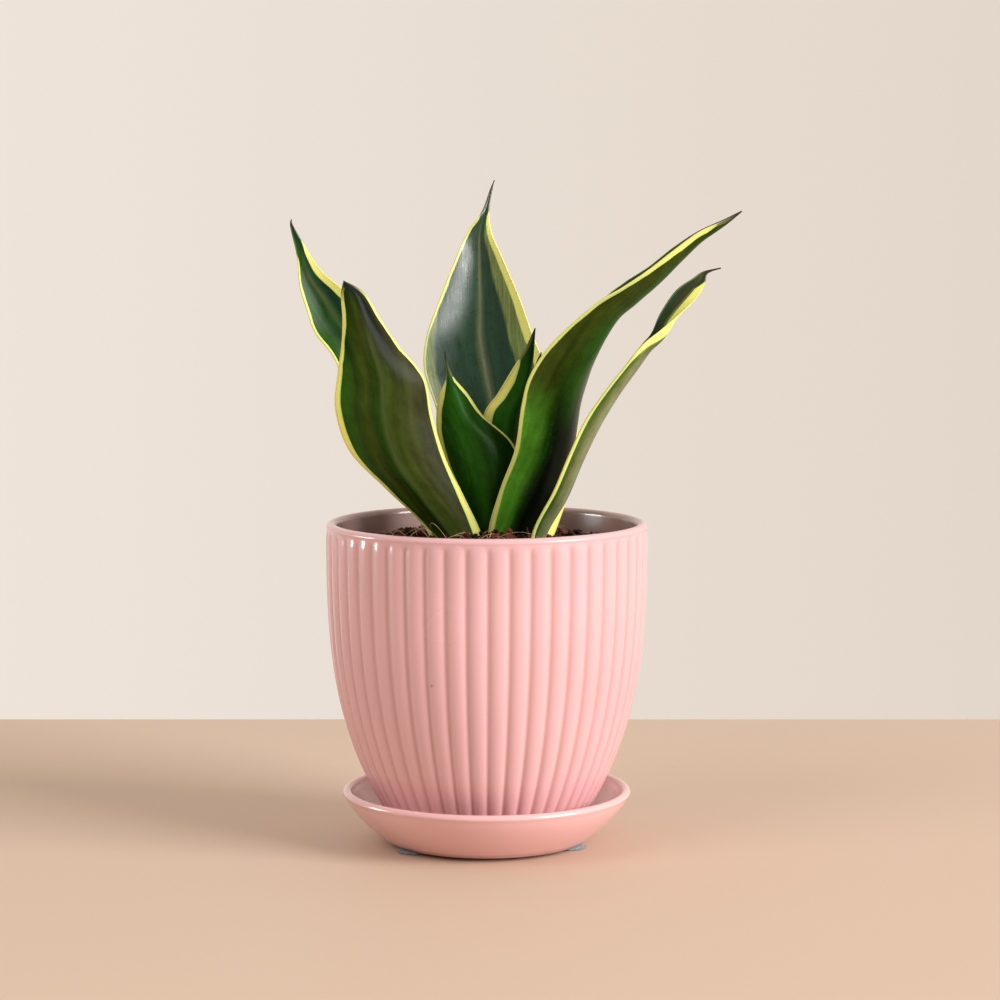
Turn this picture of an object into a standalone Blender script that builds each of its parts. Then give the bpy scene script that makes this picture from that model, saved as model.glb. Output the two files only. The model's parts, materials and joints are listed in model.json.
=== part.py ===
"""Potted snake plant: a dwarf rosette in a ribbed ceramic pot that stands in its drip saucer.

Metres, +Z up.  The origin is on the pot's axis, level with the surface the saucer's pads stand on.
-Y is the front.  Leaf rows are in millimetres and are scaled to metres where they are lofted.
"""
import math
import random

import bmesh
import bpy
from mathutils import Vector

# ---------------------------------------------------------------- driving sizes
FIT_GAP = 0.0003            # air between pieces that rest on or in each other

PAD_COUNT = 3
PAD_RADIUS = 0.0060
PAD_THICKNESS = 0.0009
PAD_INSET = 0.0040          # pad centres, in from the edge of the saucer's foot
PAD_FIRST_ANGLE = -23.0     # degrees from +X

SAUCER_FOOT_MARGIN = 0.0034     # saucer's foot beyond the pot's foot
SAUCER_REACH = 0.0201           # saucer's rim beyond the pot's foot
SAUCER_HEIGHT = 0.0194      # foot to rim
SAUCER_FOOT_RING_WIDTH = 0.0115
SAUCER_FOOT_RECESS = 0.0003
SAUCER_WALL = 0.0034
SAUCER_FLOOR = 0.0045
SAUCER_FLARE = 1.55         # 1 is a straight cone, more is rounder
SAUCER_CORNER = 0.0010      # roundness where the foot and the floor meet the sides

POT_RIM_RADIUS = 0.0601
POT_FOOT_RADIUS = 0.0341
POT_HEIGHT = 0.1154         # foot to rim
POT_WALL = 0.0042
POT_FLOOR = 0.0060
POT_FLARE = 3.1             # how late the wall turns in towards the foot
POT_FOOT_RING_WIDTH = 0.0050
POT_FOOT_RECESS = 0.0015
POT_FOOT_EDGE = 0.0008      # roundness of the foot's outer edge
DRAIN_RADIUS = 0.0060

RIB_COUNT = 48
RIB_DEPTH = 0.0011
RIB_PHASE = 0.89            # degrees from the front to the first groove
RIB_BAND = 0.0034           # plain band under the rim
RIB_FADE = 0.0045           # length over which a rib rises to its full depth

SOIL_BELOW_RIM = 0.0024     # middle of the mound, under the rim
SOIL_MOUND = 0.0096         # middle of the mound above its edge
SOIL_LUMP = 0.0007
SOIL_POCKET = 0.0009        # room the soil keeps round the leaves and the rhizome

CROWN_DEPTH = 0.0150        # top of the rhizome under the middle of the mound
RHIZOME_LENGTH = 0.0500     # left to right
RHIZOME_WIDTH = 0.0560      # front to back
RHIZOME_THICKNESS = 0.0130
RHIZOME_FLATNESS = 2.2      # 1 is a round top, more is flatter
RHIZOME_LUMP = 0.06         # share by which its outline swells in three places
ROOT_COUNT = 6
ROOT_RADIUS = 0.0012
ROOT_TAPER = 0.35           # share of its thickness a root loses
ROOT_START = 0.012          # where the roots leave the rhizome, from the axis
ROOT_DROP = 0.0420
ROOT_SPREAD = 0.0110        # how much further out a root ends
ROOT_SWAY = 0.0025

LEAF_HEIGHT = 0.1269        # tip of the tallest leaf above the pot's rim
LEAF_SPREAD = 0.0926        # reach of the furthest leaf from the axis
LEAF_THICKNESS = 0.0024     # at the keel
LEAF_EDGE = 0.0008          # at the margin
LEAF_KEEL = 1.7             # 1 is a sharp V across the leaf, 2 a round channel

# ---------------------------------------------------------------- fineness of the solids
POT_SEGMENTS = 2 * RIB_COUNT
SAUCER_SEGMENTS = 48
PAD_SEGMENTS = 20
SOIL_SEGMENTS = 44
POT_OUTER_ROWS = 7
POT_INNER_ROWS = 5
SOIL_TOP_ROWS = 7
SOIL_WALL_ROWS = 6
ROOT_POINTS = 6
LEAF_ACROSS = (-1.0, -0.5, 0.0, 0.5, 1.0)
LEAF_STEPS = 2
BURIED_ROWS = 2             # drawn rows of a leaf that lie in the soil
MERGE = 0.00001

# ---------------------------------------------------------------- sizes worked out from them
SAUCER_FOOT_RADIUS = POT_FOOT_RADIUS + SAUCER_FOOT_MARGIN
SAUCER_RIM_RADIUS = POT_FOOT_RADIUS + SAUCER_REACH
PAD_RING_RADIUS = SAUCER_FOOT_RADIUS - PAD_INSET
SAUCER_FOOT_Z = PAD_THICKNESS + FIT_GAP
SAUCER_RIM_Z = SAUCER_FOOT_Z + SAUCER_HEIGHT
POT_FOOT_Z = SAUCER_FOOT_Z + SAUCER_FLOOR + FIT_GAP
POT_RIM_Z = POT_FOOT_Z + POT_HEIGHT
POT_LIP_Z = POT_RIM_Z - POT_WALL / 2
POT_FLOOR_Z = POT_FOOT_Z + POT_FOOT_RECESS + POT_FLOOR
POT_CORNER_Z = POT_FLOOR_Z + POT_WALL
SOIL_TOP_Z = POT_RIM_Z - SOIL_BELOW_RIM
SOIL_EDGE_Z = SOIL_TOP_Z - SOIL_MOUND
CROWN_Z = SOIL_TOP_Z - CROWN_DEPTH

# ---------------------------------------------------------------- the leaves
# Each leaf is a list of cross-sections from its base to its tip, seen from its outer side:
# left margin x, y, z, right margin x, y, z, then how deep the channel between them is.
# Millimetres, from the middle of the pot's rim.  All are drawn for these two sizes:
DRAWN_HEIGHT = 0.1269
DRAWN_SPREAD = 0.0926

LEAVES = {
    "leaf_front_left": (
        (-18, -15, -17, -2, -16, -17, 4),
        (-22.5, -16, -1, -1, -17, -5.5, 4.5),
        (-37, -19, 14, -8, -20, 11, 5.5),
        (-50, -22, 28, -14.5, -22, 24.5, 6),
        (-55, -25, 43.5, -19.5, -23, 40.5, 5.5),
        (-54, -27, 56.5, -22.5, -24, 55, 5),
        (-52.5, -28, 67, -31.5, -25, 66.5, 4),
        (-52, -29, 76.5, -38, -26, 76, 3),
        (-52.5, -29, 85.5, -44, -27, 86, 1.5),
        (-51.5, -29, 90.5, -51.3, -29, 90.5, 0),
    ),
    "leaf_back_left": (
        (-5, 7, -17, -16, 7, -17, 3.5),
        (-6, 10, -7, -19, 9, -9, 4),
        (-11.5, 15, 7, -27.5, 14, 1, 5),
        (-22.5, 20, 25, -39.5, 18, 17.5, 5.5),
        (-33, 24, 43, -50.5, 22, 37, 5.5),
        (-40, 28, 64, -57.5, 26, 58, 5),
        (-48, 30, 78, -65.5, 28, 69, 4.5),
        (-55.5, 32, 86, -69, 30, 78.5, 3.5),
        (-63.5, 33, 93, -71.5, 31, 87, 2),
        (-70, 34, 103, -72.5, 33, 98, 0.7),
        (-74, 34, 110, -75, 34, 109, 0.2),
        (-74.4, 34, 112, -74.6, 34, 112, 0),
    ),
    "leaf_back_centre": (
        (11, 13, -17, -3, 13, -17, 4),
        (12.5, 15, -7.5, -5, 15, -7.5, 4.5),
        (15.5, 18, 10, -7.5, 18, 10, 6),
        (20.5, 21, 28.5, -15.5, 21, 28.5, 7),
        (23, 23, 44, -20, 24, 42.5, 7),
        (22.5, 25, 55.5, -24, 26, 55.5, 6.5),
        (17.5, 27, 68.5, -23, 28, 68, 6),
        (12.5, 29, 82.5, -18, 30, 82, 5),
        (6.5, 31, 96.5, -12.5, 32, 96, 3.5),
        (2, 32, 107, -7.5, 33, 107, 1.5),
        (1, 33, 115.5, -2, 33, 115, 0.5),
        (2.3, 33, 124, 1.2, 33, 123.5, 0.1),
        (3, 33, 126.9, 2.8, 33, 126.9, 0),
    ),
    "leaf_inner_front": (
        (-4, -5, -17, 6, -5, -17, 3),
        (-4.5, -7, -6.5, 7, -7, -6.5, 3),
        (-9, -8, 7.5, 11.5, -8, 7.5, 4.5),
        (-15, -9, 22, 13, -9, 21, 5.5),
        (-18, -10, 32.5, 9, -9, 31, 5),
        (-18.5, -10, 41, -1, -9, 40, 4),
        (-17.5, -10, 47.5, -7, -9, 48.5, 2.5),
        (-15, -10, 54.5, -12.7, -10, 55.5, 0.6),
        (-15.5, -10, 64, -15.3, -10, 64, 0),
    ),
    "leaf_inner_back": (
        (0.5, 1, -17, 8.5, 1.5, -17, 3),
        (0, 0, -7, 9.5, 1, -7, 3),
        (-1, 0, 10, 11.5, 2, 7.5, 4),
        (-1.5, 0, 26.5, 13.5, 4, 24.5, 4.5),
        (-1, 0, 40, 15, 6, 37.5, 4.5),
        (4, 0, 47.5, 16.5, 7, 46.5, 4),
        (9.5, 0, 56.5, 17, 7, 54.5, 2.5),
        (14.5, 1, 64.5, 17.5, 5, 63.5, 1),
        (18, 2, 72, 18.2, 2, 72, 0),
    ),
    "leaf_inner_right": (
        (9.5, 7, -17, 17, 8, -17, 3),
        (9.5, 8, -8, 18, 9, -8, 3),
        (9, 9, 9, 21, 11, 8.5, 4),
        (11, 10, 26, 24.5, 13, 23.5, 4),
        (14.5, 11, 41, 25, 14, 40, 3),
        (16.5, 11, 51.5, 23.5, 14, 51, 2),
        (18.5, 11, 58.5, 21, 12, 58.5, 0.6),
        (20.4, 11, 62.5, 20.6, 11, 62.5, 0),
    ),
    "leaf_right": (
        (4, -12, -17, 20, -8, -17, 4),
        (0.5, -13, -4, 24.5, -9, -6, 4.5),
        (5, -17, 13.5, 31, -6, 12.5, 6),
        (10.5, -20, 28.5, 33, -1, 25, 7),
        (13, -23, 45, 35, 2, 43.5, 8),
        (16, -26, 56, 38, 3, 55, 8),
        (24, -29, 68, 40.5, 1, 67, 8.5),
        (39, -31, 81.5, 43, -5, 81.5, 8),
        (49.5, -31, 88, 50.5, -8, 88.7, 7),
        (58.5, -30, 94, 59.5, -11, 94.7, 5.5),
        (68, -29, 101.3, 68.5, -14, 102, 4),
        (77, -27, 107.7, 77.5, -18, 108, 2.3),
        (86.5, -25, 112, 86.5, -22, 112.3, 1),
        (92.6, -24.1, 115.5, 92.6, -23.9, 115.5, 0),
    ),
    "leaf_far_right": (
        (15.5, -29.5, -17, 16.5, -20, -17, 3.5),
        (17, -33, -1, 18, -21, -1.5, 3.5),
        (24.5, -36, 14.5, 25.5, -22, 13, 4),
        (30, -39, 28, 31, -23, 26, 4),
        (36, -41, 41, 37.5, -24, 39.5, 4),
        (43.5, -42, 52, 44.5, -24, 51, 3.5),
        (51, -42, 61.5, 52, -25, 61, 3),
        (56.5, -41, 68, 57, -27, 67.5, 2.5),
        (62.5, -38, 72.5, 60, -29, 71.5, 2.5),
        (70, -34, 78.5, 63, -30, 79, 2.5),
        (76, -32, 84.5, 68.3, -31, 87, 2),
        (79, -31, 89.5, 74.5, -31, 91.5, 1),
        (80, -30, 93, 78.5, -30, 94, 0.4),
        (84.7, -30, 95, 84.7, -29.8, 95.2, 0),
    ),
}

# ---------------------------------------------------------------- materials
COLOURS = {
    "glaze_pink": ((0.78, 0.40, 0.36), 0.16),
    "felt_grey": ((0.26, 0.30, 0.36), 0.95),
    "soil_brown": ((0.035, 0.018, 0.012), 0.95),
    "root_tan": ((0.45, 0.30, 0.15), 0.80),
    "leaf_green": ((0.030, 0.085, 0.025), 0.35),
}


def material(name):
    """One Principled finish for each kind of piece."""
    found = bpy.data.materials.get(name)
    if found:
        return found
    colour, roughness = COLOURS[name]
    made = bpy.data.materials.new(name)
    made.use_nodes = True
    shader = made.node_tree.nodes["Principled BSDF"]
    shader.inputs["Base Color"].default_value = (*colour, 1.0)
    shader.inputs["Roughness"].default_value = roughness
    shader.inputs["Metallic"].default_value = 0.0
    return made


# ---------------------------------------------------------------- scene helpers
def new_collection(name):
    made = bpy.data.collections.new(name)
    bpy.context.scene.collection.children.link(made)
    return made


def add_object(name, mesh, collection, finish=None):
    obj = bpy.data.objects.new(name, mesh)
    collection.objects.link(obj)
    if finish:
        mesh.materials.append(material(finish))
    return obj


def adopt(obj, name, collection, finish):
    """Names an object made by an operator and moves it into its collection."""
    obj.name = name
    obj.data.name = name
    for owner in list(obj.users_collection):
        owner.objects.unlink(obj)
    collection.objects.link(obj)
    obj.data.materials.append(material(finish))
    return obj


def mark_as_cutter(obj):
    obj.hide_render = True
    obj.display_type = "WIRE"


def evaluated_mesh(obj):
    """The object's mesh with its modifiers worked in."""
    graph = bpy.context.evaluated_depsgraph_get()
    return bpy.data.meshes.new_from_object(obj.evaluated_get(graph))


def boolean(target, tool, operation="DIFFERENCE"):
    modifier = target.modifiers.new(f"{operation.lower()}_{tool.name}", "BOOLEAN")
    modifier.operation = operation
    modifier.solver = "EXACT"
    modifier.object = tool


def turned(name, profile, segments, collection, finish, closed=False):
    """A turned solid: a profile of (radius, z) points with a Screw modifier, made a mesh."""
    mesh = bpy.data.meshes.new(name)
    edges = [(i, i + 1) for i in range(len(profile) - 1)]
    if closed:
        edges.append((len(profile) - 1, 0))
    mesh.from_pydata([(r, 0.0, z) for r, z in profile], edges, [])
    obj = add_object(name, mesh, collection)
    screw = obj.modifiers.new("turn", "SCREW")
    screw.steps = segments
    screw.render_steps = segments
    screw.use_merge_vertices = True
    screw.merge_threshold = MERGE
    screw.use_smooth_shade = True
    obj.data = evaluated_mesh(obj)
    obj.modifiers.clear()
    obj.data.name = name
    obj.data.materials.append(material(finish))
    obj.data.set_sharp_from_angle(angle=math.radians(40.0))
    bpy.data.meshes.remove(mesh)
    return obj


def smoothstep(value):
    value = min(max(value, 0.0), 1.0)
    return value * value * (3.0 - 2.0 * value)


def arc(centre_r, centre_z, radius, start, stop, count):
    """Points on an arc, angles in degrees from +X, both ends included."""
    points = []
    for i in range(count):
        angle = math.radians(start + (stop - start) * i / (count - 1))
        points.append((centre_r + radius * math.cos(angle), centre_z + radius * math.sin(angle)))
    return points


# ---------------------------------------------------------------- saucer and its pads
def saucer_outer(share):
    """Radius and height of the saucer's outer face, from its foot at 0 to its rim at 1."""
    flare = 1.0 - (1.0 - share) ** SAUCER_FLARE
    radius = SAUCER_FOOT_RADIUS + (SAUCER_RIM_RADIUS - SAUCER_FOOT_RADIUS) * flare
    return radius, SAUCER_FOOT_Z + SAUCER_HEIGHT * share


def make_saucer(collection):
    lip = SAUCER_WALL / 2
    lip_z = SAUCER_RIM_Z - lip
    floor_z = SAUCER_FOOT_Z + SAUCER_FLOOR
    profile = [(0.0, floor_z), (SAUCER_FOOT_RADIUS - SAUCER_CORNER, floor_z)]
    for share in (0.36, 0.60):
        radius, height = saucer_outer(share)
        profile.append((radius - SAUCER_WALL, height))
    profile += arc(SAUCER_RIM_RADIUS - lip, lip_z, lip, 180.0, 0.0, 5)
    for share in (0.72, 0.50, 0.28, 0.10):
        profile.append(saucer_outer(share))
    profile.append((SAUCER_FOOT_RADIUS - SAUCER_CORNER, SAUCER_FOOT_Z))
    ring_inner = SAUCER_FOOT_RADIUS - SAUCER_FOOT_RING_WIDTH
    profile.append((ring_inner, SAUCER_FOOT_Z))
    profile.append((ring_inner - SAUCER_FOOT_RECESS, SAUCER_FOOT_Z + SAUCER_FOOT_RECESS))
    profile.append((0.0, SAUCER_FOOT_Z + SAUCER_FOOT_RECESS))
    return turned("saucer", profile, SAUCER_SEGMENTS, collection, "glaze_pink")


def make_pad(index, collection):
    """A stick-on felt pad between the saucer's foot and the table."""
    angle = math.radians(PAD_FIRST_ANGLE + 360.0 * index / PAD_COUNT)
    place = Vector((math.cos(angle), math.sin(angle), 0.0)) * PAD_RING_RADIUS
    bpy.ops.mesh.primitive_cylinder_add(
        vertices=PAD_SEGMENTS, radius=PAD_RADIUS, depth=PAD_THICKNESS,
        location=(place.x, place.y, PAD_THICKNESS / 2))
    return adopt(bpy.context.object, f"saucer_pad_{index + 1}", collection, "felt_grey")


# ---------------------------------------------------------------- pot
def pot_outer(height):
    """Radius of the pot's outer face at a height, over the crests of its ribs."""
    share = (height - POT_FOOT_Z) / POT_HEIGHT
    turn_in = max(1.0 - share, 0.0) ** POT_FLARE  # the top ring may round to just past the rim
    return POT_RIM_RADIUS - (POT_RIM_RADIUS - POT_FOOT_RADIUS) * turn_in


def pot_inner(height):
    """Radius of the pot's inner face at a height."""
    step = 0.001
    slope = (pot_outer(height + step) - pot_outer(height - step)) / (2 * step)
    return pot_outer(height) - POT_WALL * math.sqrt(1.0 + slope * slope)


def rib_strength(height):
    """0 on the plain band and at the foot, 1 where the ribs are full."""
    top = smoothstep((POT_RIM_Z - RIB_BAND - height) / RIB_FADE)
    bottom = smoothstep((height - POT_FOOT_Z) / RIB_FADE)
    return top * bottom


def rib_cut(angle, height):
    """How far the outer face is set back from the crests: round ribs, narrow grooves."""
    first = math.radians(-90.0 + RIB_PHASE)
    wave = abs(math.cos(RIB_COUNT * (angle - first) / 2.0 - math.pi / 2.0))
    return RIB_DEPTH * (1.0 - wave) * rib_strength(height)


def inner_height(row):
    """Heights of the rows of points down the pot's inner face, 0 at the bottom."""
    return POT_CORNER_Z + (POT_LIP_Z - POT_CORNER_Z) * row / (POT_INNER_ROWS - 1)


def make_pot(collection):
    lip = POT_WALL / 2
    ring_inner = POT_FOOT_RADIUS - POT_FOOT_RING_WIDTH
    under_z = POT_FOOT_Z + POT_FOOT_RECESS
    profile = arc(POT_RIM_RADIUS - lip, POT_LIP_Z, lip, 90.0, 0.0, 3)
    band_z = POT_RIM_Z - RIB_BAND
    full_z = band_z - RIB_FADE
    low_z = POT_FOOT_Z + RIB_FADE
    profile.append((pot_outer(band_z), band_z))
    for i in range(POT_OUTER_ROWS):
        height = full_z + (low_z - full_z) * i / (POT_OUTER_ROWS - 1)
        profile.append((pot_outer(height), height))
    profile.append((POT_FOOT_RADIUS, POT_FOOT_Z + POT_FOOT_EDGE))
    profile.append((POT_FOOT_RADIUS - POT_FOOT_EDGE, POT_FOOT_Z))
    profile.append((ring_inner, POT_FOOT_Z))
    profile.append((ring_inner - POT_FOOT_RECESS, under_z))
    profile.append((DRAIN_RADIUS, under_z))
    profile.append((DRAIN_RADIUS, POT_FLOOR_Z))
    profile.append((pot_inner(POT_CORNER_Z) - POT_WALL, POT_FLOOR_Z))
    for i in range(POT_INNER_ROWS):
        profile.append((pot_inner(inner_height(i)), inner_height(i)))
    pot = turned("pot", profile, POT_SEGMENTS, collection, "glaze_pink", closed=True)
    cut_ribs(pot)
    return pot


def cut_ribs(pot):
    """Turns the mesh so that its columns lie on crests and grooves, then sets the grooves back."""
    phase = math.radians(RIB_PHASE)
    for vertex in pot.data.vertices:
        x, y, z = vertex.co
        radius = math.hypot(x, y)
        angle = math.atan2(y, x) + phase
        if radius > pot_outer(z) - POT_WALL / 2 and z > POT_FOOT_Z + MERGE:
            radius -= rib_cut(angle, z)
        vertex.co = (radius * math.cos(angle), radius * math.sin(angle), z)
    pot.data.update()


# ---------------------------------------------------------------- leaves
def catmull(a, b, c, d, t):
    """A smooth value between b and c, led by their neighbours a and d."""
    return 0.5 * (2 * b + (c - a) * t + (2 * a - 5 * b + 4 * c - d) * t * t
                  + (3 * b - a - 3 * c + d) * t ** 3)


def leaf_sections(rows, steps, last=None):
    """Left margin, right margin and channel depth in metres, smoothly between the drawn rows."""
    tall = LEAF_HEIGHT / DRAWN_HEIGHT
    wide = LEAF_SPREAD / DRAWN_SPREAD
    scale = Vector((wide, wide, tall)) * 0.001
    rim = Vector((0.0, 0.0, POT_RIM_Z))
    lowest = rows[0][2]
    drawn = []
    for row in rows:
        margins = []
        for x, y, z in (row[:3], row[3:6]):
            point = Vector((x * scale.x, y * scale.y, z * scale.z if z > 0 else z * 0.001))
            if z == lowest:
                point.z = CROWN_Z + FIT_GAP - POT_RIM_Z
            margins.append(point + rim)
        drawn.append((margins[0], margins[1], row[6] * 0.001))
    spans = len(drawn) - 1 if last is None else last
    sections = []
    for i in range(spans):
        before = drawn[max(i - 1, 0)]
        after = drawn[min(i + 2, len(drawn) - 1)]
        for step in range(steps):
            t = step / steps
            sections.append(tuple(
                catmull(before[k], drawn[i][k], drawn[i + 1][k], after[k], t) for k in range(3)))
    sections.append(drawn[spans])
    return sections


def leaf_ring(sections, index, swell):
    """Corner points of one closed cross-section, the outer face first, then the inner one."""
    left, right, channel = sections[index]
    ahead = sections[min(index + 1, len(sections) - 1)]
    behind = sections[max(index - 1, 0)]
    along = (ahead[0] + ahead[1]) - (behind[0] + behind[1])
    middle = (left + right) / 2
    half = (right - left) / 2
    out = half.cross(along)
    if out.length < 1e-12:
        out = Vector((0.0, -1.0, 0.0))
    if index == 0:
        out.z = 0.0
    out.normalize()
    width = max(half.length, 1e-5)
    half = half * ((width + swell) / width)
    thick = min(LEAF_THICKNESS, 0.6 * width + 0.0004)
    edge = min(LEAF_EDGE, thick)
    outer, inner = [], []
    for across in LEAF_ACROSS:
        bow = channel * (1.0 - abs(across) ** LEAF_KEEL)
        spine = middle + half * across + out * bow
        thickness = edge + (thick - edge) * (1.0 - across * across)
        outer.append(spine + out * (thickness / 2 + swell))
        inner.append(spine - out * (thickness / 2 + swell))
    ring = outer + inner[::-1]
    if index == 0:
        for point in ring:
            point.z = middle.z - swell
    return ring


def loft(name, rings, collection, finish=None):
    """Joins closed rings of equally many points into one solid with flat ends."""
    mesh = bpy.data.meshes.new(name)
    work = bmesh.new()
    made = [[work.verts.new(point) for point in ring] for ring in rings]
    count = len(made[0])
    for lower, upper in zip(made, made[1:]):
        for i in range(count):
            j = (i + 1) % count
            work.faces.new((lower[i], lower[j], upper[j], upper[i]))
    work.faces.new(made[0][::-1])
    work.faces.new(made[-1])
    bmesh.ops.recalc_face_normals(work, faces=work.faces)
    work.to_mesh(mesh)
    work.free()
    mesh.shade_smooth()
    return add_object(name, mesh, collection, finish)


def make_leaf(name, rows, collection):
    sections = leaf_sections(rows, LEAF_STEPS)
    rings = [leaf_ring(sections, i, 0.0) for i in range(len(sections))]
    return loft(name, rings, collection, "leaf_green")


def make_leaf_cutter(name, rows, cutters):
    """The buried stretch of a leaf, larger all round by the room the soil keeps to it."""
    sections = leaf_sections(rows, LEAF_STEPS, last=BURIED_ROWS)
    rings = [leaf_ring(sections, i, SOIL_POCKET) for i in range(len(sections))]
    cutter = loft(f"cut_{name}", rings, cutters)
    mark_as_cutter(cutter)
    return cutter


# ---------------------------------------------------------------- rhizome and roots
def make_root(index, swell, cutters):
    """One root as a bevelled curve, made a closed mesh."""
    angle = math.tau * (index + 0.35) / ROOT_COUNT
    heading = Vector((math.cos(angle), math.sin(angle), 0.0))
    sideways = Vector((-heading.y, heading.x, 0.0))
    start = Vector((0.0, 0.0, CROWN_Z - RHIZOME_THICKNESS / 2)) + heading * ROOT_START
    curve = bpy.data.curves.new(f"root_curve_{index}", "CURVE")
    curve.dimensions = "3D"
    curve.bevel_depth = ROOT_RADIUS + swell
    curve.bevel_resolution = 1
    curve.use_fill_caps = True
    spline = curve.splines.new("POLY")
    spline.points.add(ROOT_POINTS - 1)
    length = ROOT_DROP * (1.0 - 0.12 * (index % 3))
    for i in range(ROOT_POINTS):
        share = i / (ROOT_POINTS - 1)
        point = start + heading * ROOT_SPREAD * share
        point += sideways * ROOT_SWAY * math.sin(5.0 * share + index)
        point.z -= length * share ** 1.3
        if i == ROOT_POINTS - 1:
            point.z -= swell
        spline.points[i].co = (*point, 1.0)
        spline.points[i].radius = 1.0 - ROOT_TAPER * share
    guide = bpy.data.objects.new(f"root_guide_{index}", curve)
    cutters.objects.link(guide)
    mesh = evaluated_mesh(guide)
    work = bmesh.new()
    work.from_mesh(mesh)
    bmesh.ops.remove_doubles(work, verts=work.verts, dist=MERGE)
    work.to_mesh(mesh)
    work.free()
    bpy.data.objects.remove(guide)
    root = add_object(f"root_{index}", mesh, cutters)
    mark_as_cutter(root)
    return root


def make_rhizome(name, swell, collection, cutters):
    """The thick underground stem the leaves spring from, flat on top, with its roots."""
    bpy.ops.mesh.primitive_uv_sphere_add(segments=20, ring_count=10, radius=1.0)
    body = adopt(bpy.context.object, name, collection, "root_tan")
    middle_z = CROWN_Z - RHIZOME_THICKNESS / 2
    for vertex in body.data.vertices:
        x, y, z = vertex.co
        lump = 1.0 + RHIZOME_LUMP * math.cos(3.0 * math.atan2(y, x) + 2.9)
        rise = min(z * RHIZOME_FLATNESS, 0.97 + 0.03 * z) if z > 0.0 else z
        vertex.co = (
            x * (RHIZOME_LENGTH / 2 * lump + swell),
            y * (RHIZOME_WIDTH / 2 * lump + swell),
            middle_z + rise * (RHIZOME_THICKNESS / 2 + swell),
        )
    body.data.shade_smooth()
    for index in range(ROOT_COUNT):
        boolean(body, make_root(index, swell, cutters), "UNION")
    return body


# ---------------------------------------------------------------- soil
def soil_radius(height):
    """The soil's own radius at a height: inside the faceted wall at every angle, by the gap."""
    facets = math.cos(math.pi / POT_SEGMENTS)
    row = (height - POT_CORNER_Z) / (POT_LIP_Z - POT_CORNER_Z) * (POT_INNER_ROWS - 1)
    lower = min(max(int(row), 0), POT_INNER_ROWS - 2)
    below = pot_inner(inner_height(lower))
    above = pot_inner(inner_height(lower + 1))
    return (below + (above - below) * (row - lower)) * facets - FIT_GAP


def make_soil(collection, hollows):
    """The potting mix, filling the pot up to a lumpy mound, with room for what grows in it."""
    edge_radius = soil_radius(SOIL_EDGE_Z)
    profile = []
    for i in range(SOIL_TOP_ROWS):
        share = i / SOIL_TOP_ROWS
        profile.append((edge_radius * share, SOIL_EDGE_Z + SOIL_MOUND * (1.0 - share * share)))
    for i in range(SOIL_WALL_ROWS):
        height = SOIL_EDGE_Z + (POT_CORNER_Z - SOIL_EDGE_Z) * i / (SOIL_WALL_ROWS - 1)
        profile.append((soil_radius(height), height))
    bottom_z = POT_FLOOR_Z + FIT_GAP
    profile.append((pot_inner(POT_CORNER_Z) - POT_WALL - FIT_GAP, bottom_z))
    profile.append((0.0, bottom_z))
    soil = turned("soil", profile, SOIL_SEGMENTS, collection, "soil_brown")
    rng = random.Random(7)
    for vertex in soil.data.vertices:
        radius = math.hypot(vertex.co.x, vertex.co.y)
        if vertex.co.z > SOIL_EDGE_Z + MERGE and radius > MERGE:
            vertex.co.z += rng.uniform(-SOIL_LUMP, SOIL_LUMP)
    for hollow in hollows:
        boolean(soil, hollow)
    return soil


# ---------------------------------------------------------------- the whole plant
def clear_scene():
    for obj in list(bpy.data.objects):
        bpy.data.objects.remove(obj)


def main():
    clear_scene()
    plant = new_collection("potted_snake_plant")
    cutters = new_collection("cutters")
    make_saucer(plant)
    for index in range(PAD_COUNT):
        make_pad(index, plant)
    make_pot(plant)
    hollows = []
    for name, rows in LEAVES.items():
        make_leaf(name, rows, plant)
        hollows.append(make_leaf_cutter(name, rows, cutters))
    make_rhizome("rhizome", 0.0, plant, cutters)
    clearance = make_rhizome("cut_rhizome", SOIL_POCKET, cutters, cutters)
    mark_as_cutter(clearance)
    hollows.append(clearance)
    make_soil(plant, hollows)


main()
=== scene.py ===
"""Looks of a potted snake plant: its ribbed glazed pot, saucer, soil and variegated leaves.

Metres, +Z up, in the frame of the solid model.  The origin is on the pot's axis at table level
and -Y is the front.
"""

import json
import math
import random

import bmesh
import bpy
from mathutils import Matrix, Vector, noise

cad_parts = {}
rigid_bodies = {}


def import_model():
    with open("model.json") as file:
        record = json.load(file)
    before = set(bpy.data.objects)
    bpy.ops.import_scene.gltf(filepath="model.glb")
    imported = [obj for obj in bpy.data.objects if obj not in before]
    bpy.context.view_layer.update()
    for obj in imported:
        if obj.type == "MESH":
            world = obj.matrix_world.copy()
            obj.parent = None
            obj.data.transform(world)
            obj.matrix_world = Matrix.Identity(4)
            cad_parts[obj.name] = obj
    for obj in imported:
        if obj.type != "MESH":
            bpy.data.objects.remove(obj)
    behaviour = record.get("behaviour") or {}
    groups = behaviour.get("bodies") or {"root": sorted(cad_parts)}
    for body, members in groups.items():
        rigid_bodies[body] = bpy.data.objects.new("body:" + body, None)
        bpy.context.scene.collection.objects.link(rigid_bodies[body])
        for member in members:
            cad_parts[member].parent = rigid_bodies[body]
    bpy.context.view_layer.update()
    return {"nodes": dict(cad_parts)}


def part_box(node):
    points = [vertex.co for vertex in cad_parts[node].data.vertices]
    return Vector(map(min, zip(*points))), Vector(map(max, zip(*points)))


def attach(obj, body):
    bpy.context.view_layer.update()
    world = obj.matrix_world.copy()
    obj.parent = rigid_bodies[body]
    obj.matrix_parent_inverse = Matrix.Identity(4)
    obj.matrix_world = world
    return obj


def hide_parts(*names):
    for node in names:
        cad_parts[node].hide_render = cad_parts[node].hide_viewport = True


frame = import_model()

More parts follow.
